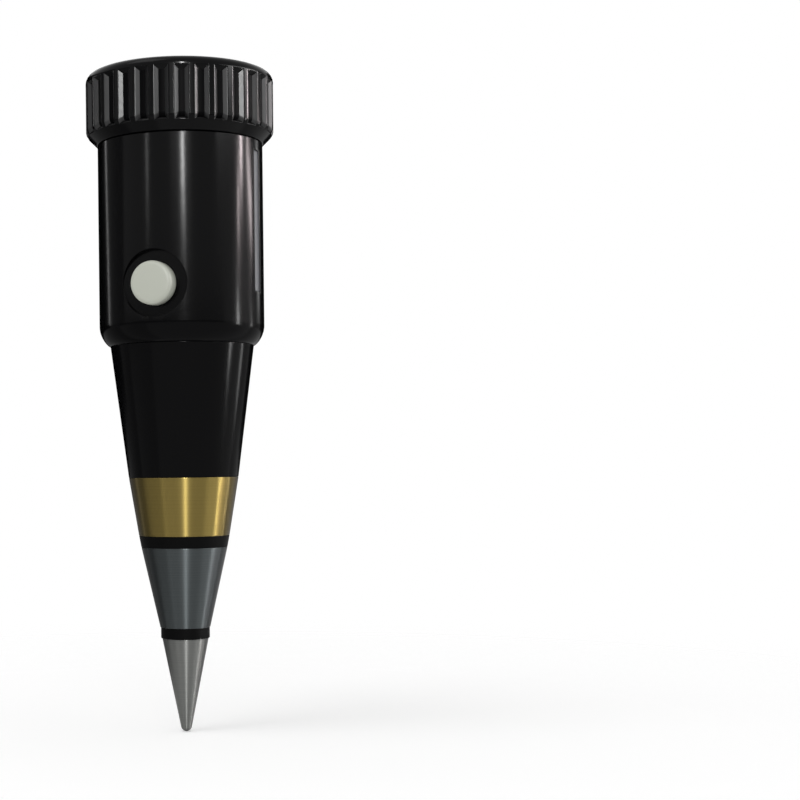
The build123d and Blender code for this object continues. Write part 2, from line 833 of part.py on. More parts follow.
# Stop pins that end the pointer's swing on both sides
stop_margin = asin((half_base + stop_pin_radius + slide_gap) / stop_pin_circle)
stop_turns = (
    radians(pointer_rest_angle + pointer_low_angle) + stop_margin,
    radians(pointer_rest_angle - pointer_high_angle) - stop_margin,
)
stop_places = [(stop_pin_circle * sin(turn), stop_pin_circle * cos(turn)) for turn in stop_turns]
with BuildPart() as stop_pins:
    with BuildSketch(on_pivot(z_dial)):
        with Locations(*stop_places):
            Circle(stop_pin_radius)
    extrude(amount=z_dial_top + stop_pin_rise - z_dial)

# Dial plate, cut out over the movement, and its screws
with BuildPart() as dial_plate:
    with BuildSketch(Plane.XY.offset(z_dial)):
        Circle(insert_radius)
        with Locations(pivot):
            Circle(dial_cutout_radius, mode=Mode.SUBTRACT)
        with Locations(*dial_screw_places):
            Circle(dial_screw_radius + close_gap, mode=Mode.SUBTRACT)
    extrude(amount=dial_thickness)

with BuildPart() as dial_screws:
    with BuildSketch(Plane.XY.offset(z_dial_top)):
        with Locations(*dial_screw_places):
            Circle(dial_screw_head)
    extrude(amount=dial_screw_head_height)
    with BuildSketch(Plane.XY.offset(z_dial_top)):
        with Locations(*dial_screw_places):
            Circle(dial_screw_radius)
    extrude(amount=-dial_screw_length)

# Cover over the movement: a reeded roof on side walls, open under the hub where the pointer leaves
hub_opening = sqrt(cover_hub_radius**2 - (pivot_offset - cover_edge_drop) ** 2) - cover_wall
reed_start = pivot_offset - cover_hub_radius
reed_count = int((cover_radius - reed_start) / reed_pitch)
reed_middle = reed_start + reed_count * reed_pitch / 2
with BuildPart() as movement_cover:
    with BuildSketch(Plane.XY.offset(z_dial_top)):
        Circle(cover_radius)
        with Locations((0, -cover_edge_drop)):
            Rectangle(2 * cover_radius, cover_radius, align=(Align.CENTER, Align.MAX), mode=Mode.INTERSECT)
    extrude(amount=z_cover_roof - z_dial_top)
    with BuildSketch(Plane.XY.offset(z_dial_top)):
        Circle(cover_radius - cover_wall)
        with Locations((0, -cover_edge_drop - cover_wall)):
            Rectangle(2 * cover_radius, cover_radius, align=(Align.CENTER, Align.MAX), mode=Mode.INTERSECT)
    extrude(amount=z_cover_roof - z_dial_top, mode=Mode.SUBTRACT)
    with BuildSketch(Plane.XY.offset(z_dial_top)):
        with Locations((0, -cover_edge_drop)):
            Rectangle(2 * hub_opening, 4 * cover_wall)
    extrude(amount=z_cover_roof - z_dial_top, mode=Mode.SUBTRACT)
    with BuildSketch(Plane.XY.offset(z_cover_roof)):
        with Locations((0, -cover_edge_drop)):
            Rectangle(2 * cover_radius, cover_radius, align=(Align.CENTER, Align.MAX))
        with Locations(pivot):
            Circle(cover_hub_radius)
        Circle(cover_radius, mode=Mode.INTERSECT)
    extrude(amount=cover_roof)
    with Locations((0, -reed_middle, z_cover_top)):
        with GridLocations(reed_pitch, reed_pitch, 1, reed_count):
            Box(2 * cover_radius, reed_groove_width, 2 * reed_groove_depth, mode=Mode.SUBTRACT)

# Surround: the pale wall between the dial and the window
with BuildPart() as dial_surround:
    with BuildSketch(Plane.XZ):
        with BuildLine():
            Polyline(
                (surround_bore, z_dial_top),
                (insert_radius, z_dial_top),
                (insert_radius, z_surround_top),
                (surround_bore + surround_draft, z_surround_top),
                close=True,
            )
        make_face()
    revolve(axis=Axis.Z)

# Crystal on its gasket
with BuildPart() as crystal:
    with BuildSketch(Plane.XY.offset(z_crystal)):
        Circle(crystal_radius)
    extrude(amount=crystal_thickness)

with BuildPart() as crystal_gasket:
    with BuildSketch(Plane.XY.offset(z_gasket)):
        Circle(crystal_radius)
        Circle(crystal_radius - gasket_width, mode=Mode.SUBTRACT)
    extrude(amount=gasket_thickness)

# Blind grip slot of the bezel, drawn on its floor, with drafted sides that widen past the mouth
slot_width = 2 * pi * bezel_radius / slot_count * slot_share
slot_height = bezel_height - slot_from_bottom - slot_from_top
slot_flare = 2 * slot_depth * tan(radians(slot_draft))
with BuildPart() as grip_slot:
    with BuildSketch(Plane.YZ.offset(bezel_radius - slot_depth)):
        with Locations((0, z_bezel + slot_from_bottom + slot_height / 2)):
            Rectangle(slot_width - slot_flare, slot_height - slot_flare)
    extrude(amount=2 * slot_depth, taper=-slot_draft)

# Screwed bezel: turned outline, then the slots round its side
z_lip = z_bezel_seat + bezel_radius - bezel_lip_radius
with BuildPart() as bezel_ring:
    with BuildSketch(Plane.XZ) as bezel_profile:
        with BuildLine():
            Polyline(
                (bezel_bore, z_bezel_seat),
                (bezel_lip_radius, z_bezel_seat),
                (bezel_radius, z_lip),
                (bezel_radius, z_top),
                (rim_inner_radius, z_top),
                (window_radius, z_crystal_top),
                (pocket_radius, z_crystal_top),
                (pocket_radius, z_gasket),
                (bezel_bore, z_gasket),
                close=True,
            )
        make_face()
        fillet(profile_corner(bezel_profile, bezel_radius, z_lip), bezel_lip_round)
        fillet(profile_corner(bezel_profile, bezel_radius, z_top), bezel_top_round)
    revolve(axis=Axis.Z)
    with PolarLocations(0, slot_count, start_angle=90 / slot_count):
        add(grip_slot.part, mode=Mode.SUBTRACT)

pieces = {
    "tip_electrode": tip_electrode,
    "lower_insulator": lower_insulator,
    "zinc_electrode": zinc_electrode,
    "upper_insulator": upper_insulator,
    "brass_electrode": brass_electrode,
    "probe_cone": probe_cone,
    "tie_rod": tie_rod,
    "rod_sleeve": rod_sleeve,
    "clamp_washer": clamp_washer,
    "tip_terminal": tip_terminal,
    "clamp_nut": clamp_nut,
    "zinc_stud": zinc_stud,
    "brass_stud": brass_stud,
    "stud_sleeve": stud_sleeve,
    "grip_body": grip_body,
    "push_button": push_button,
    "circuit_board": circuit_board,
    "switch_block": switch_block,
    "contact_leaf": contact_leaf,
    "contact_rivet": contact_rivet,
    "resistors": resistors,
    "trimmer": trimmer,
    **electrode_leads,
    "terminal_pins": terminal_pins,
    "movement_leads": movement_leads,
    "movement_chassis": movement_chassis,
    "yoke_ring": yoke_ring,
    "core_magnet": core_magnet,
    "core_supports": core_supports,
    "upper_bridge": upper_bridge,
    "lower_bridge": lower_bridge,
    "jewel_screws": jewel_screws,
    "hairsprings": hairsprings,
    "moving_coil": moving_coil,
    "pointer_arbors": pointer_arbors,
    "pointer": pointer,
    "stop_pins": stop_pins,
    "dial_plate": dial_plate,
    "dial_screws": dial_screws,
    "movement_cover": movement_cover,
    "dial_surround": dial_surround,
    "crystal": crystal,
    "crystal_gasket": crystal_gasket,
    "bezel_ring": bezel_ring,
}
os.makedirs("parts", exist_ok=True)
for name, piece in pieces.items():
    piece.part.label = name
    export_step(piece.part, f"parts/{name}.step")
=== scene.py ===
"""Looks of a hand-held soil meter: turned electrodes, black mouldings and a printed pointer dial.

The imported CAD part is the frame. The pieces that show are turned again here from the frame's own sizes,
with the edge rounds, thread, finger slots and print that the frame leaves plain. Lengths are in
millimetres, and become metres where a piece is finished. Angles on the dial are in degrees and run
clockwise from its top.
"""

from __future__ import annotations

import json
import logging
import math
from dataclasses import dataclass, field
from enum import Enum
from typing import Any

import bmesh
import bpy
from bmesh.types import BMEdge, BMesh, BMFace, BMVert
from bpy.types import ID, AreaLight, Light, Material, Mesh, Node, NodeSocket, NodeTree, Object, World
from mathutils import Matrix, Vector

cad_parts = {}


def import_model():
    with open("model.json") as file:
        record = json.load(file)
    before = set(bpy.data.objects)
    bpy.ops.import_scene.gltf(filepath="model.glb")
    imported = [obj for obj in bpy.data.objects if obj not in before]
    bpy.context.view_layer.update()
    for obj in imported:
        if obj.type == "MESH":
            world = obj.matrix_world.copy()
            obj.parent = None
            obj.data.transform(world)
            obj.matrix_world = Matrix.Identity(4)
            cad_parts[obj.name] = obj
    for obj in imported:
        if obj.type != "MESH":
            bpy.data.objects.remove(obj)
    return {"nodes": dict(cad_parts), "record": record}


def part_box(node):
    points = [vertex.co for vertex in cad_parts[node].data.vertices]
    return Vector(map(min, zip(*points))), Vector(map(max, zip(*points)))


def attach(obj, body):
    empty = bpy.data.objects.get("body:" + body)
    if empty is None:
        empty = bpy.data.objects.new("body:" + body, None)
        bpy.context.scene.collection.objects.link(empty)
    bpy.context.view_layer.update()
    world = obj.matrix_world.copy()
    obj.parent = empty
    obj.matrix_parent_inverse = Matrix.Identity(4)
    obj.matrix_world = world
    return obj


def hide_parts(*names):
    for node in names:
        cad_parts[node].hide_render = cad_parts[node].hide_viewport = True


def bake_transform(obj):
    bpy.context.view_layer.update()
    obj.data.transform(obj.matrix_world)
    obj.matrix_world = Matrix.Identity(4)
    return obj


LOG = logging.getLogger("soil_meter")
MM = 0.001
# Points nearer to each other than this are one point, and edges shorter than this are none
SAME = 1e-4
NO_LENGTH = 1e-5
# Numbers of a piece's second and third finish
SECOND = 1
THIRD = 2


class Body(Enum):
    """The bodies that pieces ride on."""

    HOUSING = "housing"
    POINTER = "pointer"
    BUTTON = "button"
    WINDOW = "window"
    BEZEL = "bezel"


class Slot(Enum):
    """The record's material slots."""

    BLACK_PLASTIC = "black_plastic"
    BEZEL_PLASTIC = "bezel_plastic"
    INSULATOR_PLASTIC = "insulator_plastic"
    BUTTON_PLASTIC = "button_plastic"
    TIP_METAL = "tip_metal"
    ZINC_METAL = "zinc_metal"
    BRASS_METAL = "brass_metal"
    FASTENER_STEEL = "fastener_steel"
    SLEEVE_PLASTIC = "sleeve_plastic"
    BOARD_LAMINATE = "board_laminate"
    SPRING_BRONZE = "spring_bronze"
    RESISTOR_BODY = "resistor_body"
    TRIMMER_BODY = "trimmer_body"
    RED_INSULATION = "red_insulation"
    BLACK_INSULATION = "black_insulation"
    YELLOW_INSULATION = "yellow_insulation"
    CHASSIS_PLASTIC = "chassis_plastic"
    YOKE_IRON = "yoke_iron"
    MAGNET_ALLOY = "magnet_alloy"
    COIL_COPPER = "coil_copper"
    POINTER_PAINT = "pointer_paint"
    DIAL_PAINT = "dial_paint"
    COVER_METAL = "cover_metal"
    SURROUND_PLASTIC = "surround_plastic"
    CRYSTAL_CLEAR = "crystal_clear"
    GASKET_RUBBER = "gasket_rubber"


class Shaping(Enum):
    """How one solid acts on another."""

    ADD = "UNION"
    TAKE = "DIFFERENCE"


def linear(code: str) -> tuple[float, float, float, float]:
    """Turns an sRGB hex colour into linear light.

    Args:
        code: Six hex digits after a hash sign.

    Returns:
        Red, green, blue and a full alpha.
    """
    parts = [int(code[i : i + 2], 16) / 255 for i in (1, 3, 5)]
    red, green, blue = (p / 12.92 if p <= 0.04045 else ((p + 0.055) / 1.055) ** 2.4 for p in parts)
    return red, green, blue, 1.0


def add_node(
    tree: NodeTree,
    kind: str,
    values: dict[str | int, Any] | None = None,
    links: dict[str | int, NodeSocket] | None = None,
    **settings: Any,
) -> Node:
    """Adds a shader node with its settings, plain values and links.

    Args:
        tree: The node tree that takes the node.
        kind: The node's type name.
        values: Plain values, by the input's name or number.
        links: Source sockets, by the input's name or number.
        **settings: Properties of the node itself.

    Returns:
        The new node.
    """
    node = tree.nodes.new(kind)
    for name, setting in settings.items():
        setattr(node, name, setting)
    for name, value in (values or {}).items():
        node.inputs[name].default_value = value
    for name, source in (links or {}).items():
        tree.links.new(source, node.inputs[name])
    return node


def bare_tree(owner: Material | World | Light) -> NodeTree:
    """Gives a material, a world or a lamp an empty node tree.

    Args:
        owner: What the tree belongs to.

    Returns:
        The tree.
    """
    owner.use_nodes = True
    owner.node_tree.nodes.clear()
    return owner.node_tree


@dataclass(frozen=True)
class Finish:
    """An even finish, and the base of the others.

    Attributes:
        name: What the material is, and how its surface was made.
        colour: sRGB hex colour.
        roughness: Surface roughness.
        metallic: 1 for bare metal.
        ior: Refractive index.
        shine: Specular level, 0.5 for a plain surface.
    """

    name: str
    colour: str
    roughness: float = 0.5
    metallic: float = 0.0
    ior: float = 1.5
    shine: float = 0.5

    def material(self) -> Material:
        """Makes the material once and finds it again after that.

        Returns:
            The material of this finish.
        """
        made = bpy.data.materials.get(self.name)
        if made is not None:
            return made
        made = bpy.data.materials.new(self.name)
        tree = bare_tree(made)
        surface = add_node(
            tree,
            "ShaderNodeBsdfPrincipled",
            {
                "Base Color": linear(self.colour),
                "Roughness": self.roughness,
                "Metallic": self.metallic,
                "IOR": self.ior,
                "Specular IOR Level": self.shine,
            },
        )
        self.dress(tree, surface)
        add_node(tree, "ShaderNodeOutputMaterial", links={"Surface": self.shader(tree, surface)})
        return made

    def dress(self, tree: NodeTree, surface: Node) -> None:
        """Adds what the finish shows beyond one even colour."""

    def shader(self, tree: NodeTree, surface: Node) -> NodeSocket:
        """Gives the shader that the material ends in."""
        return surface.outputs["BSDF"]

    def break_gloss(
        self,
        tree: NodeTree,
        surface: Node,
        pattern: NodeSocket,
        sway: float,
        relief: dict[str, float],
    ) -> None:
        """Lets a pattern change the roughness and tilt the surface.

        Args:
            tree: The material's node tree.
            surface: The material's surface.
            pattern: The pattern, from 0 to 1.
            sway: Share of the roughness that the pattern adds at 1 and takes at 0.
            relief: Strength and height of the pattern's relief.
        """
        gloss = add_node(
            tree,
            "ShaderNodeMapRange",
            {"To Min": (1 - sway) * self.roughness, "To Max": (1 + sway) * self.roughness},
            {"Value": pattern},
        )
        bump = add_node(tree, "ShaderNodeBump", relief, {"Height": pattern})
        tree.links.new(gloss.outputs["Result"], surface.inputs["Roughness"])
        tree.links.new(bump.outputs["Normal"], surface.inputs["Normal"])


@dataclass(frozen=True)
class Moulded(Finish):
    """Moulded plastic or sprayed paint: even, with gloss broken by a faint grain.

    Attributes:
        grain: Width of the grain in millimetres.
        depth: How strongly the grain tilts the surface.
        detail: Finer grains within the grain.
        sway: How far the grain changes the roughness.
    """

    grain: float = 0.5
    depth: float = 0.02
    detail: float = 2.0
    sway: float = 0.15

    def dress(self, tree: NodeTree, surface: Node) -> None:
        """Adds the grain to the gloss and to the surface.

        Args:
            tree: The material's node tree.
            surface: The material's surface.
        """
        place = add_node(tree, "ShaderNodeTexCoord")
        grain = add_node(
            tree,
            "ShaderNodeTexNoise",
            {"Scale": 1 / (self.grain * MM), "Detail": self.detail},
            {"Vector": place.outputs["Object"]},
        )
        relief = {"Strength": self.depth, "Distance": self.grain * MM}
        self.break_gloss(tree, surface, grain.outputs["Fac"], self.sway, relief)


@dataclass(frozen=True)
class Turned(Finish):
    """Metal off the lathe: tool rings round the axis that pull each reflection out along it.

    Attributes:
        stain: sRGB hex colour of the dull rings.
        ring: Spacing of the tool rings in millimetres.
        cut: Height of the rings as a share of their spacing.
        depth: How strongly the rings tilt the surface.
        pull: How far reflections are pulled out.
        pull_turn: Share of a full turn from the rings to the way of that pull.
        detail: Finer rings within the rings.
        bite: Strength of the finer rings.
        dull: Pattern value up to which a ring has the stain's colour.
        bright: Pattern value from which it has the metal's.
        sway: How far the rings change the roughness, which is less where they are bright.
    """

    stain: str = "#000000"
    # Real rings lie about a tenth of a millimetre apart, and these are wider so that they show
    ring: float = 0.25
    cut: float = 0.2
    depth: float = 0.1
    pull: float = 0.8
    pull_turn: float = 0.25
    detail: float = 3.0
    bite: float = 0.7
    dull: float = 0.3
    bright: float = 0.6
    sway: float = -0.15

    def dress(self, tree: NodeTree, surface: Node) -> None:
        """Adds the rings to the colour, the gloss and the surface.

        Args:
            tree: The material's node tree.
            surface: The material's surface.
        """
        place = add_node(tree, "ShaderNodeTexCoord")
        along = add_node(tree, "ShaderNodeSeparateXYZ", links={"Vector": place.outputs["Object"]})
        rings = add_node(
            tree,
            "ShaderNodeTexNoise",
            {"Scale": 1 / (self.ring * MM), "Detail": self.detail, "Roughness": self.bite},
            {"W": along.outputs["Z"]},
            noise_dimensions="1D",
        )
        tone = add_node(tree, "ShaderNodeValToRGB", links={"Fac": rings.outputs["Fac"]})
        dull, bright = tone.color_ramp.elements
        dull.position, bright.position = self.dull, self.bright
        dull.color, bright.color = linear(self.stain), linear(self.colour)
        relief = {"Strength": self.depth, "Distance": self.cut * self.ring * MM}
        self.break_gloss(tree, surface, rings.outputs["Fac"], self.sway, relief)
        around = add_node(tree, "ShaderNodeTangent", direction_type="RADIAL", axis="Z")
        surface.inputs["Anisotropic"].default_value = self.pull
        surface.inputs["Anisotropic Rotation"].default_value = self.pull_turn
        tree.links.new(tone.outputs["Color"], surface.inputs["Base Color"])
        tree.links.new(around.outputs["Tangent"], surface.inputs["Tangent"])


@dataclass(frozen=True)
class Clear(Finish):
    """Polished clear sheet: it mirrors lamps faintly and lets light in to what it covers."""

    def dress(self, tree: NodeTree, surface: Node) -> None:
        """Makes the sheet see-through."""
        surface.inputs["Transmission Weight"].default_value = 1.0

    def shader(self, tree: NodeTree, surface: Node) -> NodeSocket:
        """Lets lamps through the sheet, which would shade the dial otherwise.

        Args:
            tree: The material's node tree.
            surface: The material's surface.

        Returns:
            The sheet for the eye, and an open way for shadows.
        """
        path = add_node(tree, "ShaderNodeLightPath")
        open_way = add_node(tree, "ShaderNodeBsdfTransparent", {"Color": linear(self.colour)})
        mixed = add_node(
            tree,
            "ShaderNodeMixShader",
            links={
                0: path.outputs["Is Shadow Ray"],
                1: surface.outputs["BSDF"],
                2: open_way.outputs["BSDF"],
            },
        )
        return mixed.outputs["Shader"]


@dataclass(frozen=True)
class BlackAbs(Moulded):
    """Black ABS, which is moulded in several grades of gloss."""

    ior: float = 1.46
    grain: float = 0.7
    depth: float = 0.006


# Black ABS moulded in polished steel: deep black, with narrow highlights
BLACK_ABS = BlackAbs("black ABS, polished moulding", "#050506", 0.16, shine=0.1, grain=0.9)
# Black ABS of the bezel, a shade glossier
BEZEL_ABS = BlackAbs("black ABS, gloss moulding", "#050506", 0.14, shine=0.1)
# Black ABS of the cone and the shoulder above it, rubbed a little duller by the soil
CONE_ABS = BlackAbs("black ABS, worn moulding", "#050506", 0.16, shine=0.07, grain=0.9)
# The floors of the bezel's slots, which the spark-eroded mould leaves dull: its grain is drawn coarser
# than it is, so that it shows
SPARKED_ABS = BlackAbs("black ABS, dull moulding", "#040405", 0.5, shine=0.03, grain=0.15, depth=0.05)
# The walls of the slots, which fingers rub to a soft shine
RUBBED_ABS = BlackAbs("black ABS, rubbed bright", "#08080a", 0.36, shine=0.5)
# The side recess's seat: satin from the eroded mould, same coarse grain, pale grey as a painted highlight
SEAT_PAINTED_HIGHLIGHT = BlackAbs("black ABS, satin seat with painted highlight", "#7d7e82", 0.45, shine=0.3, grain=0.15, depth=0.05)
# Black acetal of the insulators: turned and dull
ACETAL = Moulded("black acetal, turned", "#060606", 0.4, ior=1.48, shine=0.05, grain=0.2, depth=0.05)
# Ivory urea of the button: dry, with a faint mottle
IVORY_UREA = Moulded("ivory urea, matt moulding", "#b9bcb0", 0.5, grain=0.3, depth=0.05)
# Plated steel of the tip: mid grey, with fine rings
TIP_STEEL = Turned("plated steel, turned", "#6d6e6c", 0.34, 1.0, stain="#666765", pull=0.95)
# Zinc alloy: darker blue grey, dulled by soil
ZINC = Turned("zinc alloy, turned", "#464a4b", 0.36, 1.0, stain="#414546", pull=0.95)
# Brass: olive yellow, the brightest of the three electrodes
BRASS = Turned("brass, turned", "#77683a", 0.32, 1.0, stain="#706237", pull=0.98)
# Clear acrylic of the window: faint mirror images and no tint
ACRYLIC = Clear("clear acrylic, polished", "#f7fafa", 0.0, ior=1.49, shine=0.2)
# Silver grey lacquer of the dial: fine and dull
DIAL_LACQUER = Moulded("silver grey lacquer, sprayed", "#bfc5cc", 0.45, grain=0.15, depth=0.01)
# Bright aluminium of the movement's cover, with rounded reeds pressed into it
REEDED_ALUMINIUM = Finish("aluminium, pressed and bright", "#e0e0de", 0.28, 1.0)
# The grooves between the reeds, which the press leaves dull; their darker grey is painted shade
DULL_GROOVE_PAINTED_SHADE = Finish("aluminium, dull, with painted groove shade", "#727274", 0.6, 1.0)
# Grey styrene of the wall round the dial: pale and even
GREY_STYRENE = Moulded("grey styrene, moulded", "#9da1a6", 0.5)
# Inks of the dial's print: flat and dry
BLACK_INK = Finish("black ink, screen printed", "#1d1d20", 0.6)
WHITE_INK = Finish("white ink, screen printed", "#eceef0", 0.6)
RED_INK = Finish("red ink, screen printed", "#c42c2e", 0.55)
TEAL_INK = Finish("teal ink, screen printed", "#1c9a7f", 0.55)
DEEP_TEAL_INK = Finish("deep teal ink, screen printed", "#06605a", 0.55)
GREEN_INK = Finish("yellow green ink, screen printed", "#8cb428", 0.55)
LILAC_INK = Finish("lilac ink, screen printed", "#b4a8b6", 0.55)
# Signal red lacquer of the pointer: smooth, with a soft shine
POINTER_RED = Finish("red lacquer, dipped", "#e14343", 0.4)
# Blackened steel of the dial's screws: dark, with a dim gleam
BLACK_STEEL = Finish("blackened steel", "#2a2a2c", 0.4, 1.0)
# Drawn brass of the studs and the rivet: paler than the electrode
DRAWN_BRASS = Finish("brass, drawn", "#a68f52", 0.32, 1.0)
# Plated steel of the rod, the nuts and the screws: bright and smooth
PLATED_STEEL = Finish("steel, bright plated", "#b9bbbd", 0.28, 1.0)
# Natural nylon of the sleeves: creamy and dull
NYLON = Moulded("nylon, natural", "#d9d6c9", 0.45)
# Phenolic paper of the circuit board: brown, with a papery grain
PHENOLIC_PAPER = Moulded("phenolic paper laminate", "#8a5a2c", 0.5, grain=0.25, depth=0.05)
# Phosphor bronze of the springs: reddish and bright
PHOSPHOR_BRONZE = Finish("phosphor bronze, rolled", "#b88657", 0.3, 1.0)
# Lacquered ceramic of the resistors: tan, with a soft shine
LACQUERED_CERAMIC = Finish("lacquered ceramic", "#c3a57b", 0.35)
# Blue polyester of the trimmer: clean and slightly glossy
BLUE_POLYESTER = Moulded("blue polyester, moulded", "#2a4f9d", 0.4)
# PVC of the leads: strong plain colours with a dull shine
RED_PVC = Finish("red PVC insulation", "#b52222", 0.45)
BLACK_PVC = Finish("black PVC insulation", "#1a1a1b", 0.45)
YELLOW_PVC = Finish("yellow PVC insulation", "#d2b324", 0.45)
# Pale styrene of the movement's chassis: off-white and even
PALE_STYRENE = Moulded("pale styrene, moulded", "#cfcec8", 0.5)
# Plated soft iron of the yoke: mid grey
PLATED_IRON = Finish("soft iron, zinc plated", "#9ea0a1", 0.38, 1.0)
# Ground magnet alloy of the core: darker grey
GROUND_ALLOY = Finish("magnet alloy, ground", "#7b7c7d", 0.45, 1.0)
# Enamelled copper of the coil: orange and bright
COPPER_WIRE = Finish("enamelled copper wire", "#b5642e", 0.32, 1.0)
# Black rubber of the gasket: matt
RUBBER = Finish("black rubber, cut", "#161616", 0.7)

# Finishes of the pieces that stay as the frame has them, by slot
FRAME_FINISHES: dict[Slot, Finish] = {
    Slot.BLACK_PLASTIC: BLACK_ABS,
    Slot.BEZEL_PLASTIC: BEZEL_ABS,
    Slot.INSULATOR_PLASTIC: ACETAL,
    Slot.BUTTON_PLASTIC: IVORY_UREA,
    Slot.TIP_METAL: TIP_STEEL,
    Slot.ZINC_METAL: ZINC,
    Slot.BRASS_METAL: DRAWN_BRASS,
    Slot.FASTENER_STEEL: PLATED_STEEL,
    Slot.SLEEVE_PLASTIC: NYLON,
    Slot.BOARD_LAMINATE: PHENOLIC_PAPER,
    Slot.SPRING_BRONZE: PHOSPHOR_BRONZE,
    Slot.RESISTOR_BODY: LACQUERED_CERAMIC,
    Slot.TRIMMER_BODY: BLUE_POLYESTER,
    Slot.RED_INSULATION: RED_PVC,
    Slot.BLACK_INSULATION: BLACK_PVC,
    Slot.YELLOW_INSULATION: YELLOW_PVC,
    Slot.CHASSIS_PLASTIC: PALE_STYRENE,
    Slot.YOKE_IRON: PLATED_IRON,
    Slot.MAGNET_ALLOY: GROUND_ALLOY,
    Slot.COIL_COPPER: COPPER_WIRE,
    Slot.POINTER_PAINT: POINTER_RED,
    Slot.DIAL_PAINT: DIAL_LACQUER,
    Slot.COVER_METAL: REEDED_ALUMINIUM,
    Slot.SURROUND_PLASTIC: GREY_STYRENE,
    Slot.CRYSTAL_CLEAR: ACRYLIC,
    Slot.GASKET_RUBBER: RUBBER,
}


@dataclass
class Frame:
    """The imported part, measured in millimetres.

    Attributes:
        nodes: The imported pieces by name.
        slots: Their material slots by name.
        flat: Degrees between faces that a copy takes for one flat face.
    """

    nodes: dict[str, Object]
    slots: dict[str, Slot]
    flat: float = 0.3

    @classmethod
    def load(cls) -> Frame:
        """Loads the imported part.

        Returns:
            The frame.
        """
        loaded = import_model()
        slots = {part["node"]: Slot(part["material_slot"]) for part in loaded["record"]["subparts"]}
        return cls(loaded["nodes"], slots)

    def low(self, node: str) -> Vector:
        """The lowest corner of a node's box."""
        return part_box(node)[0] / MM

    def high(self, node: str) -> Vector:
        """The highest corner of a node's box."""
        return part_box(node)[1] / MM

    def middle(self, node: str) -> Vector:
        """The middle of a node's box."""
        return (self.low(node) + self.high(node)) / 2

    def span(self, node: str) -> tuple[float, float]:
        """The lowest and the highest level of a node."""
        return self.low(node).z, self.high(node).z

    def points(self, node: str) -> list[tuple[float, float]]:
        """The radius about the meter's axis and the height of each of a node's vertices."""
        places = [vertex.co / MM for vertex in self.nodes[node].data.vertices]
        return [(math.hypot(place.x, place.y), place.z) for place in places]

    def radii(self, node: str, level: float, near: float = 0.02) -> tuple[float, float]:
        """Measures a turned node across one of its edges.

        Args:
            node: The node's name.
            level: Height of the edge.
            near: How near a vertex has to be.

        Returns:
            The smallest and the largest radius at that height.
        """
        found = [radius for radius, height in self.points(node) if abs(height - level) < near]
        return min(found), max(found)

    def levels(self, node: str, radius: float, near: float = 0.02) -> tuple[float, float]:
        """Measures how far a turned node keeps a radius.

        Args:
            node: The node's name.
            radius: The radius.
            near: How near a vertex has to be.

        Returns:
            The lowest and the highest level at that radius.
        """
        found = [height for reach, height in self.points(node) if abs(reach - radius) < near]
        return min(found), max(found)

    def copy(self, node: str) -> BMesh:
        """Copies a node with its loose triangles joined.

        Args:
            node: The node's name.

        Returns:
            The copy, in millimetres, with flat faces in one piece.
        """
        made = bmesh.new()
        made.from_mesh(self.nodes[node].data)
        bmesh.ops.scale(made, vec=(1 / MM, 1 / MM, 1 / MM), verts=made.verts)
        bmesh.ops.remove_doubles(made, verts=made.verts, dist=SAME)
        flat = math.radians(self.flat)
        bmesh.ops.dissolve_limit(made, angle_limit=flat, verts=made.verts, edges=made.edges)
        return made

    def paint(self) -> None:
        """Gives every node the finish of its slot."""
        for name, node in self.nodes.items():
            node.data.materials.clear()
            node.data.materials.append(FRAME_FINISHES[self.slots[name]].material())


@dataclass(frozen=True)
class Corner:
    """A corner of a turned outline.

    Attributes:
        r: Radius.
        z: Height along the axis.
        setback: How far the corner's round reaches along both of its sides.
    """

    r: float
    z: float
    setback: float = 0.0


def turn(corners: list[Corner], steps: int, axis: Matrix | None = None, segments: int = 6) -> BMesh:
    """Turns a closed outline into a solid.

    Args:
        corners: The outline's corners in order.
        steps: Facets round the axis.
        axis: Where the outline's own Z axis lies, or the meter's axis.
        segments: Facets across each round.

    Returns:
        The solid, in millimetres.
    """
    made = bmesh.new()
    outline = made.faces.new([made.verts.new((corner.r, 0, corner.z)) for corner in corners])
    for vert, corner in zip(list(outline.verts), corners):
        if corner.setback:
            round_off(made, [vert], corner.setback, segments, "VERTICES")
    bmesh.ops.delete(made, geom=made.faces[:], context="FACES_ONLY")
    spin(made, Vector((0, 0, 0)), 360, steps)
    bmesh.ops.remove_doubles(made, verts=made.verts, dist=SAME)
    bmesh.ops.dissolve_degenerate(made, edges=made.edges, dist=NO_LENGTH)
    bmesh.ops.recalc_face_normals(made, faces=made.faces)
    if axis is not None:
        bmesh.ops.transform(made, matrix=axis, verts=made.verts)
    return made


def round_off(
    made: BMesh, geom: list[BMVert] | list[BMEdge], setback: float, segments: int, affect: str = "EDGES"
) -> None:
    """Rounds corners of an outline or edges of a solid.

    Args:
        made: The shape.
        geom: The corners or edges.
        setback: How far the round reaches to both sides.
        segments: Facets across the round.
        affect: What is rounded, VERTICES or EDGES.
    """
    bmesh.ops.bevel(
        made,
        geom=geom,
        offset=setback,
        offset_type="OFFSET",
        affect=affect,
        segments=segments,
        profile=0.5,
        material=-1,
    )


def spin(made: BMesh, centre: Vector, sweep: float, steps: int, rise: float = 0.0) -> None:
    """Sweeps all of a shape's edges clockwise about an upright axis.

    Args:
        made: The shape.
        centre: A point on the axis.
        sweep: Angle of the sweep in degrees.
        steps: Facets of the sweep.
        rise: Climb over the whole sweep, for a thread.
    """
    bmesh.ops.spin(
        made,
        geom=made.verts[:] + made.edges[:],
        cent=centre,
        axis=(0, 0, -1),
        dvec=(0, 0, rise / steps),
        angle=math.radians(sweep),
        steps=steps,
        use_merge=sweep == 360 and not rise,
    )


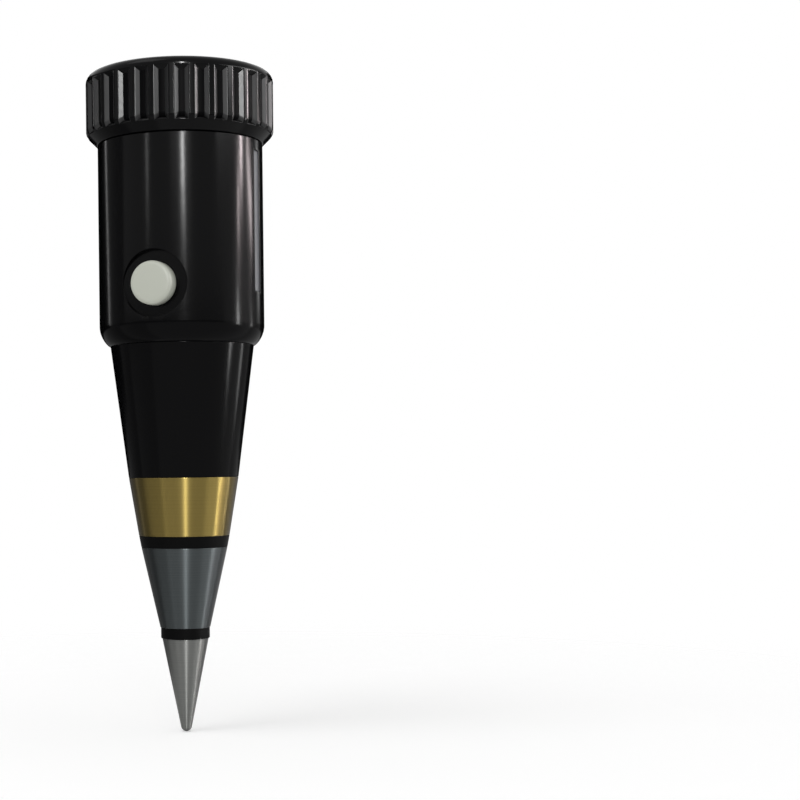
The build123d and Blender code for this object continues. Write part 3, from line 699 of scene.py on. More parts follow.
def wind(corners: list[Vector], centre: Vector, sweep: float, steps: int, rise: float = 0.0) -> BMesh:
    """Sweeps a closed outline into a solid with two ends.

    Args:
        corners: The outline's corners in order.
        centre: A point on the upright axis.
        sweep: Angle of the sweep in degrees, clockwise.
        steps: Facets of the sweep.
        rise: Climb over the whole sweep, for a thread.

    Returns:
        The solid, in millimetres.
    """
    made = bmesh.new()
    outline = [made.verts.new(corner) for corner in corners]
    for first, last in zip(outline, outline[1:] + outline[:1]):
        made.edges.new((first, last))
    spin(made, centre, sweep, steps, rise)
    bmesh.ops.remove_doubles(made, verts=made.verts, dist=SAME)
    bmesh.ops.holes_fill(made, edges=made.edges)
    bmesh.ops.recalc_face_normals(made, faces=made.faces)
    return made


def box(size: Vector, middle: Vector) -> BMesh:
    """Makes a block.

    Args:
        size: Its lengths.
        middle: Its middle.

    Returns:
        The block.
    """
    made = bmesh.new()
    bmesh.ops.create_cube(made, size=1, matrix=Matrix.Translation(middle) @ Matrix.Diagonal(size).to_4x4())
    return made


def mesh_of(made: BMesh, name: str) -> Mesh:
    """Makes a mesh of a shape.

    Args:
        made: The shape, which is used up.
        name: The mesh's name.

    Returns:
        The mesh.
    """
    mesh = bpy.data.meshes.new(name)
    made.to_mesh(mesh)
    made.free()
    return mesh


def put(name: str, data: ID) -> Object:
    """Puts a mesh, a line of type, a lamp or a camera into the scene.

    Args:
        name: The object's name.
        data: What the object holds.

    Returns:
        The object.
    """
    placed = bpy.data.objects.new(name, data)
    bpy.context.scene.collection.objects.link(placed)
    return placed


def join(shapes: list[BMesh]) -> BMesh:
    """Joins loose shapes into one.

    Args:
        shapes: The shapes in order, which are used up.

    Returns:
        The joined shape.
    """
    made = bmesh.new()
    for each in shapes:
        mesh = mesh_of(each, "shape")
        made.from_mesh(mesh)
        bpy.data.meshes.remove(mesh)
    return made


def shape(made: BMesh, tools: list[tuple[Shaping, BMesh]]) -> BMesh:
    """Adds solids to a solid, or takes them away from it.

    Args:
        made: The solid, which is used up.
        tools: The other solids in order, which are used up.

    Returns:
        The new solid.
    """
    holders = [put("shaping", mesh_of(part, "shaping")) for part in [made] + [tool for _, tool in tools]]
    target = holders[0]
    for (way, _), holder in zip(tools, holders[1:]):
        change = target.modifiers.new("shaping", "BOOLEAN")
        change.operation = way.value
        change.solver = "EXACT"
        change.object = holder
    shaped = bmesh.new()
    shaped.from_object(target, bpy.context.evaluated_depsgraph_get())
    for holder in holders:
        bpy.data.meshes.remove(holder.data)
    bmesh.ops.remove_doubles(shaped, verts=shaped.verts, dist=SAME)
    return shaped


@dataclass(frozen=True)
class Bend:
    """How a springy piece follows a second body.

    Attributes:
        body: The second body.
        start: Where the piece leaves its own body.
        end: Where it follows the second one.
    """

    body: Body
    start: Vector
    end: Vector


def finish_piece(
    made: BMesh,
    name: str,
    body: Body,
    finish: Finish,
    replaces: str | None = None,
    others: tuple[Finish, ...] = (),
    bend: Bend | None = None,
    crease: float = 30.0,
) -> None:
    """Makes a modelled piece an object of the meter.

    Args:
        made: The piece, in millimetres, which is used up.
        name: The object's name.
        body: The body that it rides on.
        finish: Its finish.
        replaces: The frame's node that it stands for.
        others: The finishes of the faces that are marked with SECOND and THIRD.
        bend: Given for a piece that bends towards another body; such a piece is baked in place, unattached.
        crease: Edges with a sharper turn than this stay crisp.
    """
    bmesh.ops.scale(made, vec=(MM, MM, MM), verts=made.verts)
    mesh = mesh_of(made, name)
    mesh.polygons.foreach_set("use_smooth", [True] * len(mesh.polygons))
    mesh.set_sharp_from_angle(angle=math.radians(crease))
    for each in (finish, *others):
        mesh.materials.append(each.material())
    piece = put(name, mesh)
    # The broad faces alone set the shading, so that narrow rounds don't bend it
    broad = piece.modifiers.new("broad faces", "WEIGHTED_NORMAL")
    broad.keep_sharp = True
    broad.weight = 100
    if bend is None:
        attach(piece, body.value)
    else:
        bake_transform(piece)
    if replaces is not None:
        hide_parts(replaces)
    LOG.info("%s: %d faces, rides on %s", name, len(mesh.polygons), body.value)


@dataclass
class Probe:
    """The stack of electrodes and insulators, and the black cone that carries it."""

    frame: Frame
    steps: int = 128
    edge: float = 0.15
    nose: float = 1.4
    nose_share: float = 0.99

    def build(self) -> None:
        """Turns every piece of the probe."""
        self.tip()
        self.lower_insulator()
        self.zinc_electrode()
        self.upper_insulator()
        self.brass_electrode()
        self.cone()

    def add(self, corners: list[Corner], name: str, slot: Slot, finish: Finish, node: str) -> None:
        """Turns the outline of one piece of the probe and puts the piece in place of its node."""
        finish_piece(turn(corners, self.steps), name, Body.HOUSING, finish, node)

    def tip(self) -> None:
        """Turns the pointed tip, which runs into a round nose."""
        node = "tip_electrode"
        top = self.frame.high(node).z
        rod = self.frame.high("tie_rod").x
        rod_end = self.frame.low("tie_rod").z
        shoulder = self.frame.radii(node, top)[1]
        reach = top - self.nose
        taper = math.atan2(shoulder, reach) - math.asin(self.nose / math.hypot(shoulder, reach))
        foot = self.nose * math.tan((math.pi / 2 - taper) / 2)
        corners = [
            Corner(0, 0),
            Corner(foot, 0, self.nose_share * foot),
            Corner(shoulder, top, self.edge),
            Corner(rod, top),
            Corner(rod, rod_end),
            Corner(0, rod_end),
        ]
        self.add(corners, "tip", Slot.TIP_METAL, TIP_STEEL, node)

    def lower_insulator(self) -> None:
        """Turns the lower insulator with its spigot."""
        node = "lower_insulator"
        low, high = self.frame.span(node)
        step = self.frame.low("zinc_electrode").z
        bore, outside = self.frame.radii(node, low)
        spigot = self.frame.radii(node, high)[1]
        corners = [
            Corner(bore, low),
            Corner(outside, low, self.edge),
            Corner(outside, step, self.edge),
            Corner(spigot, step),
            Corner(spigot, high),
            Corner(bore, high),
        ]
        self.add(corners, "insulator_low", Slot.INSULATOR_PLASTIC, ACETAL, node)

    def zinc_electrode(self) -> None:
        """Turns the zinc electrode with a socket at each end."""
        node = "zinc_electrode"
        low, high = self.frame.span(node)
        lower_step = self.frame.high("lower_insulator").z
        upper_step = self.frame.low("upper_insulator").z
        lower_socket, lower_radius = self.frame.radii(node, low)
        upper_socket = self.frame.radii(node, upper_step)[1]
        upper_radius = self.frame.radii(node, high)[1]
        bore = self.frame.radii(node, lower_step)[0]
        corners = [
            Corner(lower_socket, low),
            Corner(lower_radius, low, self.edge),
            Corner(upper_radius, high, self.edge),
            Corner(upper_socket, high),
            Corner(upper_socket, upper_step),
            Corner(bore, upper_step),
            Corner(bore, lower_step),
            Corner(lower_socket, lower_step),
        ]
        self.add(corners, "electrode_zinc", Slot.ZINC_METAL, ZINC, node)

    def upper_insulator(self) -> None:
        """Turns the upper insulator with its spigot."""
        node = "upper_insulator"
        low, high = self.frame.span(node)
        step = self.frame.high("zinc_electrode").z
        bore, spigot = self.frame.radii(node, low)
        corners = [
            Corner(bore, low),
            Corner(spigot, low),
            Corner(spigot, step),
            Corner(self.frame.radii(node, step)[1], step, self.edge),
            Corner(self.frame.radii(node, high)[1], high, self.edge),
            Corner(bore, high),
        ]
        self.add(corners, "insulator_high", Slot.INSULATOR_PLASTIC, ACETAL, node)

    def brass_electrode(self) -> None:
        """Turns the brass electrode with the socket for the cone."""
        node = "brass_electrode"
        low, high = self.frame.span(node)
        step = self.frame.low("probe_cone").z
        bore, lower_radius = self.frame.radii(node, low)
        socket, upper_radius = self.frame.radii(node, high)
        corners = [
            Corner(bore, low),
            Corner(lower_radius, low, self.edge),
            Corner(upper_radius, high, self.edge),
            Corner(socket, high),
            Corner(socket, step),
            Corner(bore, step),
        ]
        self.add(corners, "electrode_brass", Slot.BRASS_METAL, BRASS, node)

    def cone(self) -> None:
        """Turns the hollow black cone with its boss and its spigot."""
        node = "probe_cone"
        low, high = self.frame.span(node)
        step = self.frame.high("brass_electrode").z
        floor = self.frame.low("clamp_washer").z
        rim = self.frame.low("grip_body").z
        bore, boss = self.frame.radii(node, low)
        spigot_bore, spigot = self.frame.radii(node, high)
        corners = [
            Corner(bore, low),
            Corner(boss, low),
            Corner(boss, step),
            Corner(self.frame.radii(node, step)[1], step, self.edge),
            Corner(self.frame.radii(node, rim)[1], rim, self.edge),
            Corner(spigot, rim),
            Corner(spigot, high),
            Corner(spigot_bore, high),
            Corner(spigot_bore, rim),
            Corner(self.frame.radii(node, floor)[1], floor),
            Corner(bore, floor),
        ]
        self.add(corners, "cone", Slot.BLACK_PLASTIC, CONE_ABS, node)


@dataclass
class Grip:
    """The round body with its shoulder, the button's spot face, the side recess and the threaded neck."""

    frame: Frame
    steps: int = 200
    edge: float = 0.2
    shoulder_round: float = 6.0
    shoulder_facets: int = 10
    spot_radius: float = 8.2
    spot_depth: float = 1.95
    guide_radius: float = 7.3
    guide_length: float = 3.3
    button_gap: float = 0.1
    bore_facets: int = 64
    recess_turn: float = 85.5
    recess_width: float = 3.0
    recess_depth: float = 0.5
    recess_rise: float = 12.9
    recess_height: float = 34.6
    recess_clear: float = 0.5
    rim: float = 0.18
    rim_facets: int = 2
    rim_clear: float = 1.0
    tool_length: float = 2.0
    tool_past: float = 1.0
    wall_near: float = 0.012
    near: float = 0.01
    thread_pitch: float = 1.5
    thread_turns: int = 5
    thread_facets: int = 96
    thread_height: float = 0.24
    thread_crest: float = 0.25
    thread_sunk: float = 0.05

    def build(self) -> None:
        """Makes the body and its thread."""
        self.body()
        self.thread()

    def body(self) -> None:
        """Turns the body and cuts the spot face, the button's bore and the recess into it."""
        node = "grip_body"
        low, high = self.frame.span(node)
        outside = self.frame.high(node).y
        step = self.frame.levels(node, outside)[1]
        mouth, shoulder_end = self.frame.radii(node, low)
        mouth_top = self.frame.levels(node, mouth)[1]
        neck_bore, neck = self.frame.radii(node, high)
        ledge = self.frame.levels(node, neck_bore)[0]
        bore = self.frame.radii(node, ledge)[0]
        lean = math.asin((shoulder_end - outside + self.shoulder_round) / self.shoulder_round)
        setback = self.shoulder_round * math.tan((math.pi / 2 - lean) / 2)
        shoulder = low + self.shoulder_round * math.cos(lean) - setback
        recess_foot = low + self.recess_rise
        corners = [
            Corner(mouth, low),
            Corner(shoulder_end, low, self.edge),
            Corner(outside, shoulder, setback),
            Corner(outside, recess_foot - self.recess_clear),
            Corner(outside, recess_foot + self.recess_height + self.recess_clear),
            Corner(outside, step, self.edge),
            Corner(neck, step),
            Corner(neck, high, self.edge),
            Corner(neck_bore, high),
            Corner(neck_bore, ledge),
            Corner(bore, ledge),
            Corner(bore, mouth_top),
            Corner(mouth, mouth_top),
        ]
        # Half a facet's turn keeps the rounds of both mouths clear of the facets' edges
        aside = Matrix.Rotation(math.pi / self.steps, 4, "Z")
        turned = turn(corners, self.steps, aside, self.shoulder_facets)
        made = shape(turned, self.tools(outside, recess_foot))
        wall_foot = shoulder + setback
        foot, head = wall_foot + self.rim_clear, step - self.rim_clear
        # Points of a mouth that nearly meet would fold its round
        mouths = {vert for edge in self.rims(made, outside, foot, head) for vert in edge.verts}
        bmesh.ops.remove_doubles(made, verts=list(mouths), dist=self.rim / 2)
        round_off(made, self.rims(made, outside, foot, head), self.rim, self.rim_facets)
        for face in made.faces:
            if face.calc_center_median().z < wall_foot:
                face.material_index = SECOND
            elif self.in_recess(face, outside, recess_foot):
                # The recess takes the satin seat finish, whose pale grey is a painted highlight
                face.material_index = THIRD
        others = (CONE_ABS, SEAT_PAINTED_HIGHLIGHT)
        finish_piece(made, "grip", Body.HOUSING, BLACK_ABS, node, others)

    def rims(self, made: BMesh, outside: float, foot: float, head: float) -> list[BMEdge]:
        """Finds the edges where the outside wall is cut.

        Args:
            made: The grip.
            outside: Outside radius of the grip.
            foot: Level above which cuts count.
            head: Level below which cuts count.

        Returns:
            The edges round the cuts' mouths.
        """
        wall = {face for face in made.faces if self.on_wall(face, outside)}
        cut = [edge for edge in made.edges if sum(face in wall for face in edge.link_faces) == 1]
        return [edge for edge in cut if foot < edge.verts[0].co.z < head]

    def on_wall(self, face: BMFace, outside: float) -> bool:
        """Tells whether a face lies on the grip's outside wall."""
        return all(abs(math.hypot(vert.co.x, vert.co.y) - outside) < self.wall_near for vert in face.verts)

    def in_recess(self, face: BMFace, outside: float, recess_foot: float) -> bool:
        """Tells whether a face belongs to the side recess, below the rounds of its mouth.

        Args:
            face: A face of the grip.
            outside: Outside radius of the grip.
            recess_foot: Level of the recess's lower end.

        Returns:
            True for the recess's floor and walls.
        """
        middle = Matrix.Rotation(math.radians(90 - self.recess_turn), 3, "Z") @ face.calc_center_median()
        deep = outside - self.recess_depth - self.near < middle.x < outside - self.rim
        between = abs(middle.y) <= self.recess_width / 2 + self.near
        rise = middle.z - recess_foot
        return deep and between and -self.near <= rise <= self.recess_height + self.near

    def tools(self, outside: float, recess_foot: float) -> list[tuple[Shaping, BMesh]]:
        """Makes the guide that is added and the cuts that are taken away.

        Args:
            outside: Outside radius of the grip.
            recess_foot: Level of the recess's lower end.

        Returns:
            The tools in order.
        """
        spot = outside - self.spot_depth
        guide_end = spot - self.guide_length
        past = outside + self.tool_length
        guide = self.plug(self.guide_radius, guide_end, spot)
        face = self.plug(self.spot_radius, spot, past)
        hole = self.plug(Button.radius + self.button_gap, guide_end - self.tool_past, past)
        size = Vector((self.tool_length, self.recess_width, self.recess_height))
        floor = outside - self.recess_depth
        recess = box(size, Vector((floor + size.x / 2, 0, recess_foot + size.z / 2)))
        aside = Matrix.Rotation(math.radians(self.recess_turn - 90), 4, "Z")
        bmesh.ops.transform(recess, matrix=aside, verts=recess.verts)
        return [(Shaping.ADD, guide), (Shaping.TAKE, face), (Shaping.TAKE, hole), (Shaping.TAKE, recess)]

    def plug(self, radius: float, inner: float, outer: float) -> BMesh:
        """Makes a round plug across the grip's front, on the button's axis.

        Args:
            radius: Its radius.
            inner: Distance of its inner end from the meter's axis.
            outer: Distance of its outer end.

        Returns:
            The plug.
        """
        level = self.frame.middle("push_button").z
        place = Matrix.Translation((0, -(inner + outer) / 2, level)) @ Matrix.Rotation(math.pi / 2, 4, "X")
        made = bmesh.new()
        bmesh.ops.create_cone(
            made,
            cap_ends=True,
            segments=self.bore_facets,
            radius1=radius,
            radius2=radius,
            depth=outer - inner,
            matrix=place,
        )
        return made

    def thread(self) -> None:
        """Winds the thread round the neck."""
        node = "grip_body"
        high = self.frame.high(node).z
        neck = self.frame.radii(node, high)[1]
        climb = self.thread_pitch * self.thread_turns
        root = high - climb - self.thread_pitch
        # The two flanks and the gap between two threads are alike
        flank = (self.thread_pitch - self.thread_crest) / 3
        sunk = neck - self.thread_sunk
        crest = neck + self.thread_height
        corners = [
            Vector((sunk, 0, root)),
            Vector((crest, 0, root + flank)),
            Vector((crest, 0, root + flank + self.thread_crest)),
            Vector((sunk, 0, root + 2 * flank + self.thread_crest)),
        ]
        steps = self.thread_facets * self.thread_turns
        made = wind(corners, Vector((0, 0, 0)), -360 * self.thread_turns, steps, climb)
        finish_piece(made, "neck_thread", Body.HOUSING, BLACK_ABS)


@dataclass
class Button:
    """The ivory push button with its flange and plunger."""

    frame: Frame
    steps: int = 96
    radius: float = 5.3
    edge: float = 1.1
    edge_facets: int = 8
    crown: float = 0.12
    flange_radius: float = 6.4
    flange_thickness: float = 1.0
    plunger_radius: float = 1.5
    plunger_length: float = 2.0
    plunger_edge: float = 0.2

    def build(self) -> None:
        """Turns the button about its own axis."""
        node = "push_button"
        face, back = -self.frame.low(node).y, -self.frame.high(node).y
        flange = back + self.plunger_length
        # Halfway out, a round crown has fallen by a quarter of its height
        corners = [
            Corner(0, back),
            Corner(self.plunger_radius, back, self.plunger_edge),
            Corner(self.plunger_radius, flange),
            Corner(self.flange_radius, flange),
            Corner(self.flange_radius, flange + self.flange_thickness),
            Corner(self.radius, flange + self.flange_thickness),
            Corner(self.radius, face - self.crown, self.edge),
            Corner(self.radius / 2, face - self.crown / 4),
            Corner(0, face),
        ]
        level = Matrix.Translation((0, 0, self.frame.middle(node).z))
        made = turn(corners, self.steps, level @ Matrix.Rotation(math.pi / 2, 4, "X"), self.edge_facets)
        finish_piece(made, "button", Body.BUTTON, IVORY_UREA, node)


@dataclass
class Switch:
    """The contact leaf that springs against the button's plunger."""

    frame: Frame
    cuts: int = 30
    clear: float = 0.02

    def build(self) -> None:
        """Cuts the leaf into short lengths and springs its free end forward to the plunger."""
        node = "contact_leaf"
        low, high = self.frame.low(node), self.frame.high(node)
        held = self.frame.low("switch_block").z
        free = self.frame.middle("push_button").z + Button.plunger_radius + self.clear
        forward = low.y - self.frame.high("push_button").y - self.clear
        made = box(high - low, self.frame.middle(node))
        upright = [edge for edge in made.edges if edge.verts[0].co.z != edge.verts[1].co.z]
        bmesh.ops.subdivide_edges(made, edges=upright, cuts=self.cuts, use_grid_fill=True)
        for vert in made.verts:
            share = min(max((held - vert.co.z) / (held - free), 0), 1)
            vert.co.y -= forward * share * share * (3 - 2 * share)
        bend = Bend(Body.BUTTON, Vector((0, low.y, held)), Vector((0, low.y, free)))
        finish_piece(made, "leaf", Body.HOUSING, PHOSPHOR_BRONZE, node, bend=bend)


@dataclass
class Bezel:
    """The screwed ring that holds the window, slotted round its side for the fingers."""

    frame: Frame
    slots: int = 30
    facets: int = 10
    slot_facets: int = 6
    slot_phase: float = 0.25
    slot_depth: float = 0.75
    slot_foot: float = 2.3
    slot_head: float = 2.45
    slot_draft: float = 48.0
    slot_edge: float = 0.2
    edge_facets: int = 3
    end_slope: float = 0.4
    facing: float = 0.5
    lip_edge: float = 0.2
    lip_round: float = 0.82
    top_round: float = 2.19
    rim_round: float = 0.5
    window_round: float = 0.25

    def build(self) -> None:
        """Turns the ring, sinks its slots and rounds their mouths."""
        node = "bezel_ring"
        low, top = self.frame.span(node)
        outside = self.frame.high(node).y
        bore, lip = self.frame.radii(node, low)
        rim = self.frame.radii(node, top)[0]
        glass = self.frame.high("crystal").z
        window, pocket = self.frame.radii(node, glass)
        seat = self.frame.low("crystal_gasket").z
        foot, head = low + self.slot_foot, top - self.slot_head
        corners = [
            Corner(bore, low),
            Corner(lip, low, self.lip_edge),
            Corner(outside, low + outside - lip, self.lip_round),
            Corner(outside, head),
            Corner(outside, top, self.top_round),
            Corner(rim, top, self.rim_round),
            Corner(window, glass, self.window_round),
            Corner(pocket, glass),
            Corner(pocket, seat),
            Corner(bore, seat),
        ]
        made = turn(corners, self.slots * self.facets)
        pitch = 2 * math.pi / self.slots
        mouths = []
        for slot in range(self.slots):
            mouths += self.sink(made, (slot + self.slot_phase) * pitch, foot, head)
        round_off(made, mouths, self.slot_edge, self.edge_facets)
        others = (SPARKED_ABS, RUBBED_ABS)
        finish_piece(made, "bezel", Body.BEZEL, BEZEL_ABS, node, others)

    def sink(self, made: BMesh, place: float, foot: float, head: float) -> list[BMEdge]:
        """Sinks one slot into the ring's side.

        Args:
            made: The ring.
            place: Angle of the slot's middle.
            foot: Lower end of the slots.
            head: Upper end of the slots.

        Returns:
            The edges round the slot's mouth.
        """
        outward = Vector((math.cos(place), math.sin(place), 0))
        half = math.pi / self.slots * self.slot_facets / self.facets
        wall = set()
        for face in made.faces:
            middle = face.calc_center_median()
            flat = Vector((middle.x, middle.y, 0))
            facing = face.normal.dot(outward) > self.facing
            if facing and foot < middle.z < head and flat.angle(outward) < half:
                wall.add(face)
        edges = {edge for face in wall for edge in face.edges}
        mouth = [edge for edge in edges if sum(face in wall for face in edge.link_faces) == 1]
        pushed = bmesh.ops.extrude_face_region(made, geom=list(wall))["geom"]
        floor = [item for item in pushed if isinstance(item, BMVert)]
        for item in pushed:
            if isinstance(item, BMFace):
                item.material_index = SECOND
        draft = 2 * self.slot_depth * math.tan(math.radians(self.slot_draft))
        heights = [vert.co.z for vert in floor]
        height = max(heights) - min(heights)
        width = 2 * half * max(math.hypot(vert.co.x, vert.co.y) for vert in floor)
        turned = Matrix.Rotation(place, 4, "Z")
        local = turned @ Matrix.Translation((0, 0, min(heights) + height / 2))
        inward = Matrix.Translation((-self.slot_depth, 0, 0))
        narrow = Matrix.Diagonal((1, 1 - draft / width, 1 - draft / height, 1))
        bmesh.ops.transform(made, matrix=local @ inward @ narrow @ local.inverted(), verts=floor)
        bmesh.ops.delete(made, geom=list(wall), context="FACES")
        for face in {face for vert in floor for face in vert.link_faces}:
            face.normal_update()
            if face.material_index != SECOND and abs(face.normal.z) < self.end_slope:
                face.material_index = THIRD
        return mouth


@dataclass
class Window:
    """The clear disc that the bezel holds down on its gasket."""

    frame: Frame
    steps: int = 128
    edge: float = 0.2
    edge_facets: int = 2

    def build(self) -> None:
        """Turns the disc."""
        node = "crystal"
        low, high = self.frame.span(node)
        radius = self.frame.high(node).x
        corners = [
            Corner(0, low),
            Corner(radius, low, self.edge),
            Corner(radius, high, self.edge),
            Corner(0, high),
        ]
        made = turn(corners, self.steps, segments=self.edge_facets)
        finish_piece(made, "window", Body.WINDOW, ACRYLIC, node)


@dataclass(frozen=True)
class Words:
    """A line of print that stands upright on the dial.

    Attributes:
        line: What it says.
        height: Height of its figures.
        across: How far its middle lies to the right of the dial's middle.
        along: How far its middle lies above the dial's middle.
    """

    line: str
    height: float
    across: float
    along: float


@dataclass
class Dial:
    """The printed plate with its surround and its screws. Bands are given by their two radii."""

    frame: Frame
    steps: int = 128
    edge: float = 0.15
    screw_steps: int = 40
    screw_head: float = 0.45
    screw_shank: float = 0.3
    slot_width: float = 0.12
    slot_length: float = 2.0
    slot_depth: float = 0.15
    ink: float = 0.012
    sunk: float = 0.01
    cap_share: float = 0.72
    curve_facets: int = 4
    band_step: float = 1.2
    scale_start: float = -33.5
    scale_end: float = 25.0
    block_gap: float = 0.6
    block_end: float = 34.5
    tick_band: tuple[float, float] = (18.9, 20.4)
    tick_width: float = 0.3
    end_tick_width: float = 0.2
    line_width: float = 0.15
    line_lap: float = 0.07
    line_before: float = 0.5
    line_after: float = 0.3
    red_ground: tuple[float, float] = (16.7, 18.7)
    red_band: tuple[float, float] = (17.0, 18.4)
    green_block: tuple[float, float] = (16.9, 18.6)
    teal_band: tuple[float, float] = (15.45, 16.5)
    acid_marks: tuple[tuple[int, float], ...] = (
        (3, -33.5),
        (4, -24.0),
        (5, -10.0),
        (6, 4.5),
        (7, 25.0),
        (8, 34.5),
    )
    acid_parts: int = 5
    acid_reach: float = 21.75
    acid_height: float = 1.25
    wet_blocks: int = 8
    wet_tick: tuple[float, float] = (14.8, 16.5)
    wet_tick_width: float = 0.25
    wet_reach: float = 14.35
    wet_height: float = 1.1
    black_words: tuple[Words, ...] = (
        Words("3.0", 1.5, -13.3, 2.0),
        Words("8.0", 1.5, 13.3, 2.0),
        Words("+", 1.2, -7.0, 0.0),
        Words("-", 1.2, -7.0, -3.7),
        Words("+", 1.2, 7.0, 0.0),
        Words("-", 1.2, 7.0, -3.7),
    )
    acid_unit: Words = Words("pH", 1.7, 0.0, 1.2)
    wet_unit: Words = Words("x 10 %", 1.2, 0.0, -1.2)

    def build(self) -> None:
        """Makes the surround, the screws and the print."""
        self.surround()
        self.screws()
        self.white_ground()
        self.black_lines()
        self.colour_bands()
        self.wet_scale()
        self.press([self.upright(self.acid_unit)], "print_unit_red", RED_INK)
        self.press([self.upright(self.wet_unit)], "print_unit_teal", DEEP_TEAL_INK)

    @property
    def pivot(self) -> Vector:
        """The place on the dial's face that the pointer turns about."""
        middle = self.frame.middle("pointer_arbors")
        return Vector((middle.x, middle.y, self.frame.high("dial_plate").z))

    def surround(self) -> None:
        """Turns the pale wall round the dial."""
        node = "dial_surround"
        low, high = self.frame.span(node)
        outside = self.frame.high(node).x
        corners = [
            Corner(self.frame.radii(node, low)[0], low),
            Corner(outside, low),
            Corner(outside, high),
            Corner(self.frame.radii(node, high)[0], high, self.edge),
        ]
        made = turn(corners, self.steps)
        finish_piece(made, "surround", Body.HOUSING, GREY_STYRENE, node)

    def screws(self) -> None:
        """Makes the two slotted screws that hold the dial."""
        node = "dial_screws"
        low, high = self.frame.low(node), self.frame.high(node)
        seat = self.pivot.z
        corners = [
            Corner(0, low.z),
            Corner(self.screw_shank, low.z),
            Corner(self.screw_shank, seat),
            Corner(self.screw_head, seat),
            Corner(self.screw_head, high.z, self.edge),
            Corner(0, high.z),
        ]
        screws = []
        for side in (low.x + self.screw_head, high.x - self.screw_head):
            place = Vector((side, self.frame.middle(node).y, 0))
            screw = turn(corners, self.screw_steps, Matrix.Translation(place))
            size = Vector((self.slot_length, self.slot_width, 2 * self.slot_depth))
            slot = box(size, place + Vector((0, 0, high.z)))
            screws.append(shape(screw, [(Shaping.TAKE, slot)]))
        made = join(screws)
        finish_piece(made, "dial_screws_slotted", Body.HOUSING, BLACK_STEEL, node)

    def band(self, radii: tuple[float, float], start: float, end: float, layer: int) -> BMesh:
        """Prints a band round the pivot.

        Args:
            radii: Its inner and its outer radius.
            start: Angle where it starts.
            end: Angle where it ends.
            layer: How many layers of ink it stands on, itself included.

        Returns:
            The band.
        """
        made = bmesh.new()
        toward = Matrix.Rotation(math.radians(-start), 3, "Z") @ Vector((0, 1, 0))
        low = self.pivot - Vector((0, 0, self.sunk))
        made.edges.new([made.verts.new(low + toward * radius) for radius in radii])
        spin(made, self.pivot, end - start, max(1, round((end - start) / self.band_step)))
        lifted = bmesh.ops.extrude_face_region(made, geom=made.faces[:])
        top = [item for item in lifted["geom"] if isinstance(item, BMVert)]
        bmesh.ops.translate(made, vec=(0, 0, self.sunk + layer * self.ink), verts=top)
        bmesh.ops.recalc_face_normals(made, faces=made.faces)
        return made

    def stroke(self, radii: tuple[float, float], turn_to: float, width: float, layer: int) -> BMesh:
        """Prints a straight mark that points away from the pivot.

        Args:
            radii: Where it starts and where it ends.
            turn_to: Its angle.
            width: Its width.
            layer: How many layers of ink it stands on, itself included.

        Returns:
            The mark.
        """
        inner, outer = radii
        height = self.sunk + layer * self.ink
        size = Vector((width, outer - inner, height))
        made = box(size, Vector((0, (inner + outer) / 2, height / 2 - self.sunk)))
        bmesh.ops.transform(made, matrix=self.toward(turn_to), verts=made.verts)
        return made

    def toward(self, turn_to: float) -> Matrix:
        """The place of a print that points away from the pivot at an angle."""
        return Matrix.Translation(self.pivot) @ Matrix.Rotation(math.radians(-turn_to), 4, "Z")

    def number(self, value: int, turn_to: float, reach: float, height: float) -> BMesh:
        """Prints a number of a scale.

        Args:
            value: The number.
            turn_to: Its angle.
            reach: Distance of its middle from the pivot.
            height: Height of its figures.

        Returns:
            The number.
        """
        return self.lettering(str(value), height, self.toward(turn_to) @ Matrix.Translation((0, reach, 0)))

    def upright(self, words: Words) -> BMesh:
        """Prints an upright line."""
        place = Matrix.Translation((words.across, words.along, self.pivot.z))
        return self.lettering(words.line, words.height, place)

    def lettering(self, words: str, height: float, place: Matrix) -> BMesh:
        """Prints a line of figures.

        Args:
            words: The line.
            height: Height of its figures.
            place: Where its middle lies, on the dial's face.

        Returns:
            The line.
        """
        line = bpy.data.curves.new("lettering", "FONT")
        line.body = words
        line.size = height / self.cap_share
        line.resolution_u = self.curve_facets
        line.extrude = (self.sunk + self.ink) / 2
        holder = put("lettering", line)
        mesh = bpy.data.meshes.new_from_object(holder.evaluated_get(bpy.context.evaluated_depsgraph_get()))
        made = bmesh.new()
        made.from_mesh(mesh)
        bpy.data.curves.remove(line)
        bpy.data.meshes.remove(mesh)
        bmesh.ops.remove_doubles(made, verts=made.verts, dist=SAME)
        across = [vert.co.x for vert in made.verts]
        along = [vert.co.y for vert in made.verts]
        middle = Vector((min(across) + max(across), min(along) + max(along), self.sunk - self.ink)) / 2
        bmesh.ops.translate(made, vec=-middle, verts=made.verts)
        bmesh.ops.transform(made, matrix=place, verts=made.verts)
        return made

    def press(self, prints: list[BMesh], name: str, finish: Finish) -> None:
        """Puts all the prints of one ink on the dial."""
        finish_piece(join(prints), name, Body.HOUSING, finish)

    def white_ground(self) -> None:
        """Prints the white ground of the tick band and the pale edges of the red one."""
        grounds = (self.tick_band, self.red_ground)
        bands = [self.band(radii, self.scale_start, self.scale_end, 1) for radii in grounds]
        self.press(bands, "print_white", WHITE_INK)

